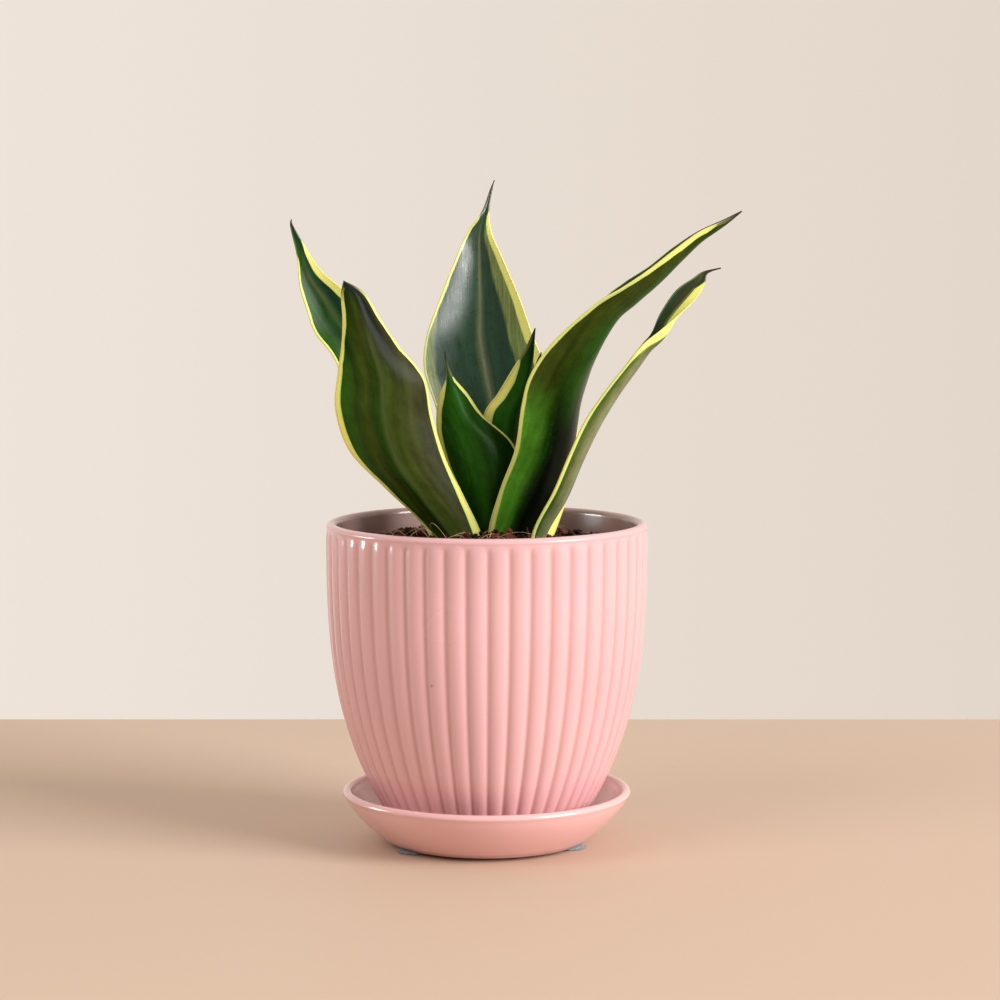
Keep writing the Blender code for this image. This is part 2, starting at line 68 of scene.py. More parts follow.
bl_info = {
    "name": "Potted snake plant",
    "version": (1, 0, 0),
    "blender": (4, 5, 0),
    "location": "3D View > Sidebar > Plant",
    "description": "Builds the finished pot, saucer, soil and leaves round the solid model",
    "category": "Object",
}

MM = 0.001
# The innermost ring of a closed turned shape, small enough for one flat face.
CENTRE = 0.0004
POT_LOW, POT_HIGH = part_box("pot")
SAUCER_LOW, SAUCER_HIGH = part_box("saucer")
SOIL_LOW, SOIL_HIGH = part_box("soil")
RIM_Z = POT_HIGH.z
CROWN_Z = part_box("rhizome")[1].z
SOIL_EDGE = SOIL_HIGH.x - 0.0002
SOIL_EDGE_DEPTH = 0.0120
SOIL_CROWN = 0.0096
SOIL_GAP = 0.0006
LEAF_GAP = 0.0003
SPECK_GREEN = (0.22, 0.42, 0.16)
DRY_EDGE = (0.48, 0.44, 0.22)
TIP_DARK = (0.014, 0.022, 0.016)
NO_MOTTLE = (((0, 0.0),), ((0, 0.0),))

# ---------------------------------------------------------------- the leaves
# Cross-sections from base to tip, seen from the leaf's outer side: left margin x, y, z, right
# margin x, y, z, then how deep the channel between them is.  Millimetres from the rim's middle.
LEAF_ROWS = {
    "leaf_front_left": (
        (-18, -15, -17, -2, -16, -17, 4),
        (-22.5, -16, -1, -1, -17, -5.5, 4.5),
        (-37, -19, 14, -8, -20, 11, 5.5),
        (-50, -22, 28, -14.5, -22, 24.5, 6),
        (-55, -25, 43.5, -19.5, -23, 40.5, 5.5),
        (-54, -27, 56.5, -22.5, -24, 55, 5),
        (-52.5, -28, 67, -31.5, -25, 66.5, 4),
        (-52, -29, 76.5, -38, -26, 76, 3),
        (-52.5, -29, 85.5, -44, -27, 86, 1.5),
        (-51.5, -29, 90.5, -51.3, -29, 90.5, 0),
    ),
    "leaf_back_left": (
        (-5, 7, -17, -16, 7, -17, 3.5),
        (-6, 10, -7, -19, 9, -9, 4),
        (-11.5, 15, 7, -27.5, 14, 1, 5),
        (-22.5, 20, 25, -39.5, 18, 17.5, 5.5),
        (-33, 24, 43, -50.5, 22, 37, 5.5),
        (-40, 28, 64, -57.5, 26, 58, 5),
        (-48, 30, 78, -65.5, 28, 69, 4.5),
        (-55.5, 32, 86, -69, 30, 78.5, 3.5),
        (-63.5, 33, 93, -71.5, 31, 87, 2),
        (-70, 34, 103, -72.5, 33, 98, 0.7),
        (-74, 34, 110, -75, 34, 109, 0.2),
        (-74.4, 34, 112, -74.6, 34, 112, 0),
    ),
    "leaf_back_centre": (
        (11, 13, -17, -3, 13, -17, 4),
        (12.5, 15, -7.5, -5, 15, -7.5, 4.5),
        (15.5, 18, 10, -7.5, 18, 10, 6),
        (20.5, 21, 28.5, -15.5, 21, 28.5, 7),
        (23, 23, 44, -20, 24, 42.5, 7),
        (22.5, 25, 55.5, -24, 26, 55.5, 6.5),
        (17.5, 27, 68.5, -23, 28, 68, 6),
        (12.5, 29, 82.5, -18, 30, 82, 5),
        (6.5, 31, 96.5, -12.5, 32, 96, 3.5),
        (2, 32, 107, -7.5, 33, 107, 1.5),
        (1, 33, 115.5, -2, 33, 115, 0.5),
        (2.3, 33, 124, 1.2, 33, 123.5, 0.1),
        (3, 33, 126.9, 2.8, 33, 126.9, 0),
    ),
    "leaf_inner_front": (
        (-4, -5, -17, 6, -5, -17, 3),
        (-4.5, -7, -6.5, 7, -7, -6.5, 3),
        (-9, -8, 7.5, 11.5, -8, 7.5, 4.5),
        (-15, -9, 22, 13, -9, 21, 5.5),
        (-18, -10, 32.5, 9, -9, 31, 5),
        (-18.5, -10, 41, -1, -9, 40, 4),
        (-17.5, -10, 47.5, -7, -9, 48.5, 2.5),
        (-15, -10, 54.5, -12.7, -10, 55.5, 0.6),
        (-15.5, -10, 64, -15.3, -10, 64, 0),
    ),
    "leaf_inner_back": (
        (0.5, 1, -17, 8.5, 1.5, -17, 3),
        (0, 0, -7, 9.5, 1, -7, 3),
        (-1, 0, 10, 11.5, 2, 7.5, 4),
        (-1.5, 0, 26.5, 13.5, 4, 24.5, 4.5),
        (-1, 0, 40, 15, 6, 37.5, 4.5),
        (4, 0, 47.5, 16.5, 7, 46.5, 4),
        (9.5, 0, 56.5, 17, 7, 54.5, 2.5),
        (14.5, 1, 64.5, 17.5, 5, 63.5, 1),
        (18, 2, 72, 18.2, 2, 72, 0),
    ),
    "leaf_inner_right": (
        (9.5, 7, -17, 17, 8, -17, 3),
        (9.5, 8, -8, 18, 9, -8, 3),
        (9, 9, 9, 21, 11, 8.5, 4),
        (11, 10, 26, 24.5, 13, 23.5, 4),
        (14.5, 11, 41, 25, 14, 40, 3),
        (16.5, 11, 51.5, 23.5, 14, 51, 2),
        (18.5, 11, 58.5, 21, 12, 58.5, 0.6),
        (20.4, 11, 62.5, 20.6, 11, 62.5, 0),
    ),
    "leaf_right": (
        (4, -12, -17, 20, -8, -17, 4),
        (0.5, -13, -4, 24.5, -9, -6, 4.5),
        (5, -17, 13.5, 31, -6, 12.5, 6),
        (10.5, -20, 28.5, 33, -1, 25, 7),
        (13, -23, 45, 35, 2, 43.5, 8),
        (16, -26, 56, 38, 3, 55, 8),
        (24, -29, 68, 40.5, 1, 67, 8.5),
        (39, -31, 81.5, 43, -5, 81.5, 8),
        (49.5, -31, 88, 50.5, -8, 88.7, 7),
        (58.5, -30, 94, 59.5, -11, 94.7, 5.5),
        (68, -29, 101.3, 68.5, -14, 102, 4),
        (77, -27, 107.7, 77.5, -18, 108, 2.3),
        (86.5, -25, 112, 86.5, -22, 112.3, 1),
        (92.6, -24.1, 115.5, 92.6, -23.9, 115.5, 0),
    ),
    "leaf_far_right": (
        (15.5, -29.5, -17, 16.5, -20, -17, 3.5),
        (17, -33, -1, 18, -21, -1.5, 3.5),
        (24.5, -36, 14.5, 25.5, -22, 13, 4),
        (30, -39, 28, 31, -23, 26, 4),
        (36, -41, 41, 37.5, -24, 39.5, 4),
        (43.5, -42, 52, 44.5, -24, 51, 3.5),
        (51, -42, 61.5, 52, -25, 61, 3),
        (56.5, -41, 68, 57, -27, 67.5, 2.5),
        (62.5, -38, 72.5, 60, -29, 71.5, 2.5),
        (70, -34, 78.5, 63, -30, 79, 2.5),
        (76, -32, 84.5, 68.3, -31, 87, 2),
        (79, -31, 89.5, 74.5, -31, 91.5, 1),
        (80, -30, 93, 78.5, -30, 94, 0.4),
        (84.7, -30, 95, 84.7, -29.8, 95.2, 0),
    ),
}

# Widths in millimetres of the yellow margins and of the mottled zone inside them, against the
# height above the rim, then the greens across the outer and the inner face from the left margin
# at -1 to the right margin at 1, the outer greens near the tip and the heights between which they
# take over, the pale stripe on the keel (strength, width, place) and how speckled the outer face
# is.  The keel stripe is partly a pale midrib and partly a painted highlight along the ridge.
# Where the inner face is glossier than the usual, its shine is given too.  A width of -1 ends a
# band.
LEAF_LOOKS = {
    "leaf_front_left": {
        "left": ((-5, 2.0), (10, 2.4), (30, 2.8), (45, 2.0), (60, 1.0), (80, 0.9), (88, 0.8), (91, -1)),
        "right": ((-5, 3.2), (10, 2.2), (25, 1.3), (50, 0.7), (70, 0.6), (84, 0.9), (88, 0.8), (91, -1)),
        "outer": ((-1, "leafy"), (-0.35, "olive"), (-0.1, "forest"), (0.15, "olive"), (1, "umber")),
        # Near-black right of the keel on the crown: painted shade where the blade turns away from the
        # light.
        "crown": ((-1, "forest"), (-0.3, "olive"), (0.05, "night"), (0.5, "night"), (1, "umber")),
        "crown_from": (46, 76),
        "inner": ((-1, "deep"), (1, "deep")),
        "keel": (0.45, 1.6, 0.02),
        "speckle": 0.1,
    },
    "leaf_back_left": {
        "left": ((0, 2.6), (60, 2.8), (85, 3.2), (98, 1.6), (104, -1)),
        "right": ((0, 1.4), (40, 1.1), (90, 0.9), (98, 0.7), (103, -1)),
        "outer": ((-1, "leafy"), (1, "olive")),
        "crown": ((-1, "leafy"), (1, "deep")),
        "crown_from": (60, 95),
        "inner": ((-1, "deep"), (-0.3, "deep"), (0.3, "forest"), (1, "leafy")),
        "keel": (0.6, 1.3, -0.05),
        "speckle": 0.05,
    },
    "leaf_back_centre": {
        "left": ((0, 3.2), (54, 4.4), (86, 3.2), (106, 2.2), (113, 1.0), (117, -1)),
        "right": ((0, 0.6), (60, 0.6), (80, 1.1), (105, 1.0), (112, 0.8), (116, -1)),
        "mottle": (((0, 8.0), (54, 8.0), (86, 5.2), (106, 1.6), (112, 0.0)),
                   ((0, 5.0), (60, 4.5), (76, 1.0), (82, 0.0))),
        "outer": ((-1, "olive"), (0, "leafy"), (1, "olive")),
        "crown": ((-1, "leafy"), (1, "deep")),
        "crown_from": (60, 95),
        "inner": ((-1, "deep"), (0, "deep"), (1, "deep")),
        "keel": (0.9, 0.6, 0.0),
        "speckle": 0.0,
        "shine": 1.0,
    },
    "leaf_inner_front": {
        "left": ((0, 1.4), (30, 1.8), (48, 2.0), (53, 0.6), (56, -1)),
        "right": ((0, 0.8), (35, 0.8), (48, 1.3), (53, 0.6), (56, -1)),
        "outer": ((-1, "leafy"), (-0.4, "leafy"), (0.1, "forest"), (1, "forest")),
        "crown": ((-1, "leafy"), (0.0, "leafy"), (1, "forest")),
        "crown_from": (30, 50),
        "inner": ((-1, "deep"), (1, "deep")),
        "keel": (0.0, 2.0, 0.0),
        "speckle": 0.25,
    },
    "leaf_inner_back": {
        "left": ((0, 2.4), (35, 2.8), (52, 2.4), (58, 0.8), (62, -1)),
        "right": ((0, 1.0), (50, 0.8), (60, 0.4), (62, -1)),
        "outer": ((-1, "leafy"), (0.2, "leafy"), (0.8, "forest"), (1, "slate")),
        "crown": ((-1, "forest"), (1, "night")),
        "crown_from": (54, 64),
        "inner": ((-1, "deep"), (1, "deep")),
        "keel": (0.0, 2.0, 0.0),
        "speckle": 0.1,
    },
    "leaf_inner_right": {
        "left": ((0, 1.2), (50, 1.0), (58, -1)),
        "right": ((0, 1.2), (50, 1.0), (58, -1)),
        "outer": ((-1, "leafy"), (1, "leafy")),
        "crown": ((-1, "leafy"), (1, "forest")),
        "crown_from": (45, 60),
        "inner": ((-1, "deep"), (1, "deep")),
        "keel": (0.0, 1.5, 0.0),
        "speckle": 0.1,
    },
    "leaf_right": {
        "left": ((-5, 2.0), (12, 1.0), (40, 0.6), (75, 0.4), (92, 0.5), (103, 1.4), (109, 1.1), (113, -1)),
        "right": ((0, 4.6), (32, 4.2), (42, 1.2), (60, 0.3), (105, 0.3), (112, -1)),
        # The bright left half is partly painted light, and the near-black right half is painted shade
        # where that half lies in shadow.
        "outer": ((-1, "bright"), (-0.6, "bright"), (-0.46, "leafy"), (-0.3, "night"), (1, "night")),
        "crown": ((-1, "olive"), (-0.6, "olive"), (-0.1, "leafy"), (0.4, "olive"), (1, "umber")),
        "crown_from": (32, 58),
        "inner": ((-1, "slate"), (-0.5, "deep"), (1, "deep")),
        "keel": (0.0, 1.0, 0.0),
        "speckle": 0.9,
    },
    "leaf_far_right": {
        "left": ((0, 0.7), (35, 0.5), (50, 0.3), (62, 0.3), (68, 1.6), (76, 4.4), (88, 2.8), (92, -1)),
        "right": ((0, 0.5), (60, 0.4), (66, 0.0), (70, -1)),
        "mottle": (((0, 0.0), (60, 0.0), (70, 1.2), (85, 0.8), (92, 0.0)), ((0, 0.0),)),
        "outer": ((-1, "leafy"), (-0.7, "moss"), (0.0, "slate"), (1, "slate")),
        "crown": ((-1, "leafy"), (1, "olive")),
        "crown_from": (60, 80),
        # The greyer umber middle of the inner face stands in for a sheen on it: painted highlight.
        "inner": ((-1, "deep"), (0, "umber"), (1, "deep")),
        "keel": (0.0, 1.2, 0.0),
        "speckle": 0.2,
    },
}


def setting_colour(title, words, colour):
    """A colour setting, given in display values from 0 to 255."""
    linear = [((c / 255 + 0.055) / 1.055) ** 2.4 if c > 10 else c / 255 / 12.92 for c in colour]
    return bpy.props.FloatVectorProperty(
        name=title, description=words, default=linear, size=3, min=0.0, max=1.0, subtype="COLOR")


def setting_length(title, words, default):
    return bpy.props.FloatProperty(
        name=title, description=words, default=default, min=0.0, subtype="DISTANCE", unit="LENGTH")


def setting_power(title, words, default):
    return bpy.props.FloatProperty(
        name=title, description=words, default=default, min=0.0, unit="POWER")


# ---------------------------------------------------------------- settings
class PlantPotSettings(bpy.types.PropertyGroup):
    rim_radius: setting_length("Rim radius", "Outside of the rim", POT_HIGH.x)
    foot_radius: setting_length("Foot radius", "Outside of the foot", 0.0341)
    wall: setting_length("Wall", "Thickness of the wall", 0.0042)
    floor: setting_length("Floor", "Thickness of the floor", 0.0060)
    drain_radius: setting_length("Drain radius", "Hole in the floor", 0.0060)
    flare: bpy.props.FloatProperty(
        name="Flare", description="How late the wall turns in towards the foot", default=3.1)
    ribs: bpy.props.IntProperty(name="Ribs", description="Ribs round the pot", default=48, min=3)
    rib_depth: setting_length("Rib depth", "Crest to groove", 0.00115)
    rib_phase: bpy.props.FloatProperty(
        name="Rib phase", description="From the front to the first groove",
        default=math.radians(0.89), subtype="ANGLE", unit="ROTATION")
    band: setting_length("Band", "Plain band between the rim and the tips of the ribs", 0.0022)
    glaze: setting_colour("Glaze", "Pink glaze outside", (231, 182, 185))
    # Darker inside the pot, from the inner half of the lip down: painted shade.
    lining: setting_colour("Lining", "Glaze inside", (178, 141, 134))


class PlantSaucerSettings(bpy.types.PropertyGroup):
    rim_radius: setting_length("Rim radius", "Outside of the lip", SAUCER_HIGH.x)
    foot_radius: setting_length("Foot radius", "Outside of the flat foot", 0.0375)
    wall: setting_length("Wall", "Thickness of the wall", 0.0034)
    floor: setting_length("Floor", "Thickness of the floor", 0.0045)
    flare: bpy.props.FloatProperty(
        name="Flare", description="1 is a straight cone, more is rounder", default=1.55)
    glaze: setting_colour("Glaze", "Pink glaze", (236, 187, 186))
    # Paler and greyer inside the dish than outside: painted light for the dish's shaded inside.
    lining: setting_colour("Lining", "Glaze inside", (246, 216, 210))
    felt: setting_colour("Felt", "Stick-on pads under the foot", (132, 138, 146))


class PlantSoilSettings(bpy.types.PropertyGroup):
    crumbs: bpy.props.IntProperty(name="Crumbs", description="Loose coir crumbs", default=1500)
    chips: bpy.props.IntProperty(name="Chips", description="Chips of bark", default=46)
    fibres: bpy.props.IntProperty(name="Fibres", description="Loose coir fibres", default=120)
    dark: setting_colour("Dark", "Damp coir", (32, 20, 16))
    bark: setting_colour("Bark", "Reddish bark chips", (104, 52, 34))
    fibre: setting_colour("Fibre", "Dry coir fibres", (226, 186, 142))
    root: setting_colour("Root", "Rhizome and roots", (178, 146, 104))


class PlantLeafSettings(bpy.types.PropertyGroup):
    thickness: setting_length("Thickness", "At the keel", 0.0024)
    edge: setting_length("Edge", "Thickness at the margin", 0.0008)
    yellow: setting_colour("Margin", "Yellow margin", (253, 251, 138))
    pale: setting_colour("Mottle", "Grey-green zone inside the margin", (134, 152, 84))
    # Only on leaf_right's left half, where it is partly painted light.
    bright: setting_colour("Bright", "Brightest green", (88, 160, 40))
    leafy: setting_colour("Leafy", "Middle green", (38, 88, 18))
    forest: setting_colour("Forest", "Dark pure green", (24, 58, 8))
    moss: setting_colour("Moss", "Pale mossy green", (104, 112, 66))
    olive: setting_colour("Olive", "Olive green", (54, 66, 18))
    umber: setting_colour("Umber", "Brownish green", (58, 57, 34))
    deep: setting_colour("Deep", "Deep blue-green", (24, 60, 38))
    slate: setting_colour("Slate", "Greyish green", (124, 126, 102))
    # On leaf_right and leaf_front_left this near-black is painted shade.
    night: setting_colour("Night", "Nearly black green", (12, 18, 9))


class PlantStageSettings(bpy.types.PropertyGroup):
    floor: setting_colour("Floor", "Table", (208, 184, 164))
    # The wall is lighter at the left and darker at the right: painted light falling across it.
    wall: setting_colour("Wall", "Wall behind, at the left", (238, 228, 218))
    wall_right: setting_colour("Right Wall", "Wall behind, at the right", (227, 214, 202))
    room: bpy.props.FloatProperty(
        name="Room", description="Brightness of the room in front, as a share of the wall",
        default=0.42)
    key: setting_power("Key light", "Large light at the right", 110.0)
    fill: setting_power("Fill light", "Soft light high at the left", 22.0)
    window: setting_power("Window light", "Light that only gleams on the glaze", 8.5)
    sheen: setting_power("Sheen light", "Light that only gleams on the back leaf", 7.0)


def settings(group):
    return getattr(bpy.context.scene, "plant_" + group)


# ---------------------------------------------------------------- material nodes
def put(tree, kind, values=None, **own):
    """Adds a node, sets its own options, then gives its inputs numbers, colours or links."""
    made = tree.nodes.new("ShaderNode" + kind)
    for key, value in own.items():
        setattr(made, key, value)
    for key, value in (values or {}).items():
        if isinstance(value, bpy.types.NodeSocket):
            tree.links.new(value, made.inputs[key])
        else:
            made.inputs[key].default_value = value
    return made


def calc(tree, operation, a, b=0.0, clamp=False):
    return put(tree, "Math", {0: a, 1: b}, operation=operation, use_clamp=clamp).outputs[0]


def times(tree, a, b):
    return calc(tree, "MULTIPLY", a, b)


def remap(tree, value, low, high, to_low=0.0, to_high=1.0, smooth=False):
    kind = "SMOOTHSTEP" if smooth else "LINEAR"
    return put(tree, "MapRange", {0: value, 1: low, 2: high, 3: to_low, 4: to_high},
               interpolation_type=kind).outputs[0]


def mixed(tree, share, a, b):
    """A colour between a and b; each is a link or red, green, blue."""
    a = a if isinstance(a, bpy.types.NodeSocket) else (*a, 1.0)
    b = b if isinstance(b, bpy.types.NodeSocket) else (*b, 1.0)
    return put(tree, "Mix", {0: share, 6: a, 7: b}, data_type="RGBA").outputs[2]


def cloud(tree, where, scale, detail=3.0, roughness=0.55):
    return put(tree, "TexNoise", {"Vector": where, "Scale": scale, "Detail": detail,
                                  "Roughness": roughness}).outputs[0]


def spots(tree, where, scale):
    """Distance to the nearest of a cloud of points, and that point's random colour."""
    cells = put(tree, "TexVoronoi", {"Vector": where, "Scale": scale})
    return cells.outputs["Distance"], cells.outputs["Color"]


def attribute(tree, name, output="Fac"):
    """A value stored on the mesh."""
    return put(tree, "Attribute", attribute_name=name,
               attribute_type="GEOMETRY").outputs[output]


def three_parts(tree, name):
    return put(tree, "SeparateXYZ", {0: attribute(tree, name, "Vector")}).outputs


def drawn_out(tree, where, scale):
    return put(tree, "Mapping", {"Vector": where, "Scale": scale}).outputs[0]


def bump(tree, height, distance, strength=1.0):
    return put(tree, "Bump", {"Height": height, "Distance": distance,
                              "Strength": strength}).outputs[0]


def new_finish(name, roughness, **sockets):
    """A material with its Principled shader's plain numbers set."""
    made = bpy.data.materials.new(name)
    made.use_nodes = True
    tree = made.node_tree
    shader = tree.nodes["Principled BSDF"]
    shader.inputs["Roughness"].default_value = roughness
    for key, value in sockets.items():
        shader.inputs[key.replace("_", " ")].default_value = value
    return made, tree, shader


def tone(colour, *shares):
    """A colour made lighter or darker, evenly or by red, green and blue."""
    shares = shares * 3 if len(shares) == 1 else shares
    return [min(c * share, 1.0) for c, share in zip(colour, shares)]


def wire(tree, shader, **results):
    """Joins results to the shader's sockets, whose names have _ for a space."""
    for socket, result in results.items():
        tree.links.new(result, shader.inputs[socket.replace("_", " ")])


def object_place(tree):
    return put(tree, "TexCoord").outputs["Object"]


def glaze_finish(name, outside, inside):
    """Glazed earthenware: thinner over the crests, darker in the grooves, with a few pits.  The grooves'
    brown is partly glaze pooled there and partly painted shade between the ribs.
    """
    made, tree, shader = new_finish(name, 0.24, IOR=1.5, Coat_Weight=0.5, Coat_Roughness=0.07)
    place = object_place(tree)
    groove = attribute(tree, "groove")
    lining = attribute(tree, "lining")
    drift = cloud(tree, place, 22.0, 1.0)
    body = mixed(tree, remap(tree, drift, 0.2, 0.8), tone(outside, 0.95), tone(outside, 1.03))
    # Brown in the grooves: partly glaze pooled there, partly painted shade between the ribs.
    pooled_and_shaded = tone(outside, 0.66, 0.50, 0.44)
    body = mixed(tree, remap(tree, groove, 0.4, 1.0, 0.0, 0.6), body, pooled_and_shaded)
    # The inside colour is painted light and shade: darker inside the pot, paler inside the saucer.
    inner = mixed(tree, remap(tree, drift, 0.3, 0.7), tone(inside, 0.9), inside)
    body = mixed(tree, lining, body, inner)
    distance, tint = spots(tree, place, 260.0)
    chosen = calc(tree, "GREATER_THAN", tint, 0.965)
    pit = times(tree, remap(tree, distance, 0.22, 0.10), chosen)
    body = mixed(tree, times(tree, pit, 0.6), body, tone(outside, 0.35))
    ripple = cloud(tree, place, 70.0, 2.0)
    height = calc(tree, "SUBTRACT", ripple, times(tree, pit, 0.8))
    wire(tree, shader, Base_Color=body, Normal=bump(tree, height, 0.00022, 0.2),
         Roughness=remap(tree, drift, 0.2, 0.8, 0.22, 0.28))
    return made


def felt_finish(colour):
    """Grey felt with light and dark strands."""
    made, tree, shader = new_finish("felt", 0.95, Sheen_Weight=0.4, Sheen_Roughness=0.5)
    place = object_place(tree)
    strands = cloud(tree, place, 1500.0, 4.0, 0.7)
    body = mixed(tree, remap(tree, strands, 0.35, 0.65), tone(colour, 0.55), tone(colour, 1.7))
    wire(tree, shader, Base_Color=body, Normal=bump(tree, strands, 0.0004))
    return made


def soil_finish(name, dark, light, lightness):
    """Damp coir or bark: each crumb its own brown, from a value stored on its corners."""
    made, tree, shader = new_finish(name, 0.85, Specular_IOR_Level=0.3)
    place = object_place(tree)
    tint = attribute(tree, "tint")
    grain = cloud(tree, place, 900.0, 4.0, 0.65)
    share = times(tree, tint, lightness)
    share = calc(tree, "ADD", share, remap(tree, grain, 0.3, 0.8, -0.12, 0.2), clamp=True)
    wire(tree, shader, Base_Color=mixed(tree, share, tone(dark, 0.8), light),
         Normal=bump(tree, grain, 0.0005), Roughness=remap(tree, grain, 0.3, 0.7, 0.7, 0.95))
    return made


def leaf_finish(look):
    """Waxy leaf skin.  The blade's greens and the margins' widths are stored on the mesh."""
    made, tree, shader = new_finish("leaf_skin", 0.32)
    lane = attribute(tree, "lane", "Vector")
    blade = attribute(tree, "blade", "Color")
    yellow, mottle, keel = three_parts(tree, "marks")
    speckle, margin, tip = three_parts(tree, "traits")
    streaked = drawn_out(tree, lane, (1.0, 0.05, 1.0))
    fine = cloud(tree, streaked, 1.6, 4.0, 0.6)
    broad = cloud(tree, streaked, 0.35, 3.0)
    blotch = cloud(tree, drawn_out(tree, lane, (0.25, 0.16, 1.0)), 1.0, 3.0, 0.6)
    shade = remap(tree, broad, 0.3, 0.7, 0.70, 1.32)
    shade = times(tree, shade, remap(tree, blotch, 0.3, 0.7, 0.8, 1.2))
    body = put(tree, "VectorMath", {0: blade, 3: shade}, operation="SCALE").outputs[0]
    # The pale keel stripe: partly a pale midrib, partly a painted highlight along the ridge.
    light = mixed(tree, remap(tree, keel, 0.45, 0.85), look.moss, look.slate)
    body = mixed(tree, times(tree, keel, remap(tree, fine, 0.3, 0.7, 0.55, 1.0)),
                 body, light)
    dots = times(tree, remap(tree, spots(tree, lane, 1.3)[0], 0.34, 0.12), speckle)
    dots = times(tree, dots, remap(tree, blotch, 0.42, 0.62))
    body = mixed(tree, times(tree, dots, 0.55), body, SPECK_GREEN)
    wander = remap(tree, broad, 0.2, 0.8, -0.35, 0.35)
    patches = calc(tree, "ADD", mottle, remap(tree, broad, 0.25, 0.75, -0.7, 0.7))
    zone = remap(tree, patches, -0.6, 1.0, smooth=True)
    zone_tint = mixed(tree, remap(tree, fine, 0.35, 0.68), tone(look.pale, 0.55),
                      tone(look.pale, 1.25))
    body = mixed(tree, times(tree, zone, 0.85), body, zone_tint)
    inside = calc(tree, "ADD", yellow, wander)
    fresh = mixed(tree, remap(tree, inside, 0.05, 0.8), tone(look.yellow, 0.6, 0.8, 0.7),
                  look.yellow)
    fresh = mixed(tree, remap(tree, fine, 0.35, 0.75, 0.0, 0.4), fresh,
                  tone(look.yellow, 0.75, 0.85, 0.9))
    body = mixed(tree, remap(tree, inside, -0.1, 0.18, smooth=True), body, fresh)
    rim_line = remap(tree, margin, 0.45, 0.05)
    body = mixed(tree, times(tree, rim_line, 0.35), body, DRY_EDGE)
    body = mixed(tree, remap(tree, tip, 9.0, 2.5, 0.0, 0.9), body, TIP_DARK)
    furrow = cloud(tree, drawn_out(tree, lane, (1.0, 0.03, 1.0)), 1.7, 3.0, 0.6)
    cells = cloud(tree, lane, 5.0, 2.0)
    height = calc(tree, "ADD", furrow, times(tree, cells, 0.18))
    wire(tree, shader, Base_Color=body, Normal=bump(tree, height, 0.0003, 0.11),
         Roughness=remap(tree, blotch, 0.3, 0.7, 0.24, 0.34),
         Specular_IOR_Level=remap(tree, attribute(tree, "gloss"), 0.0, 1.0, 0.06, 0.60))
    return made


def root_finish(colour):
    """Tan rhizome skin, ringed like the old leaf scars on it."""
    made, tree, shader = new_finish("root_skin", 0.8)
    place = object_place(tree)
    rings = put(tree, "TexWave", {"Vector": place, "Scale": 90.0, "Distortion": 5.0,
                                  "Detail": 3.0}, bands_direction="Z").outputs["Fac"]
    grain = cloud(tree, place, 600.0, 4.0)
    body = mixed(tree, rings, tone(colour, 0.5), colour)
    body = mixed(tree, remap(tree, grain, 0.3, 0.8, 0.0, 0.6), body, tone(colour, 0.35))
    wire(tree, shader, Base_Color=body, Normal=bump(tree, grain, 0.0006))
    return made


# ---------------------------------------------------------------- mesh helpers
def smoothstep(value):
    value = min(max(value, 0.0), 1.0)
    return value * value * (3.0 - 2.0 * value)


def spread(first, last, count):
    """Evenly spaced values, both ends included."""
    return [first + (last - first) * i / (count - 1) for i in range(count)]


def table(rows, at):
    """Value at a place in rows of (place, value), straight between rows."""
    if at <= rows[0][0]:
        return rows[0][1]
    for (low, a), (high, b) in zip(rows, rows[1:]):
        if at <= high:
            return a + (b - a) * (at - low) / (high - low)
    return rows[-1][1]


def new_piece(name, points, faces, finish, slot, *nodes, smooth=True):
    """A mesh object that rides on the plant and stands for solids, which it hides; its slot is not used.
    """
    mesh = bpy.data.meshes.new(name)
    mesh.from_pydata(points, [], faces)
    mesh.validate()
    if smooth:
        mesh.shade_smooth()
    piece = bpy.data.objects.new(name, mesh)
    bpy.context.scene.collection.objects.link(piece)
    mesh.materials.append(finish)
    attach(piece, "root")
    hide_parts(*nodes)
    return piece


def store(piece, name, kind, values):
    """Keeps one value per point on the mesh for its material: FLOAT, FLOAT_VECTOR or a colour."""
    field = piece.data.attributes.new(name, kind, "POINT")
    if kind == "FLOAT":
        field.data.foreach_set("value", values)
    elif kind == "FLOAT_VECTOR":
        field.data.foreach_set("vector", [c for v in values for c in v])
    else:
        field.data.foreach_set("color", [c for v in values for c in (*v, 1.0)])


def ring_faces(rings, around, closed=False):
    """Quads between rings of equally many points, and between the last and first if closed."""
    faces = []
    pairs = rings if closed else rings - 1
    for i in range(pairs):
        low = i * around
        high = (i + 1) % rings * around
        for j in range(around):
            k = (j + 1) % around
            faces.append((low + j, low + k, high + k, high + j))
    return faces


def capped_faces(rings, around):
    """Quads between rings, and one face over the first ring and one over the last."""
    first = tuple(range(around))[::-1]
    last = tuple(range((rings - 1) * around, rings * around))
    return [*ring_faces(rings, around), first, last]


def arc(radius, height, bend, first, last, count):
    """Radius, height and angle along a rounded corner; angles are in degrees."""
    for angle in spread(first, last, count):
        turn = math.radians(angle)
        yield radius + bend * math.cos(turn), height + bend * math.sin(turn), angle


def tube(path, radius, sides=5, taper=0.5):
    """Points and faces of a thin closed tube along a path."""
    points, count = [], len(path)
    for i, here in enumerate(path):
        along = (path[min(i + 1, count - 1)] - path[max(i - 1, 0)]).normalized()
        side = along.orthogonal().normalized()
        other = along.cross(side)
        width = radius * (1.0 - taper * i / (count - 1))
        for j in range(sides):
            angle = math.tau * j / sides
            points.append(here + (side * math.cos(angle) + other * math.sin(angle)) * width)
    return points, capped_faces(count, sides)


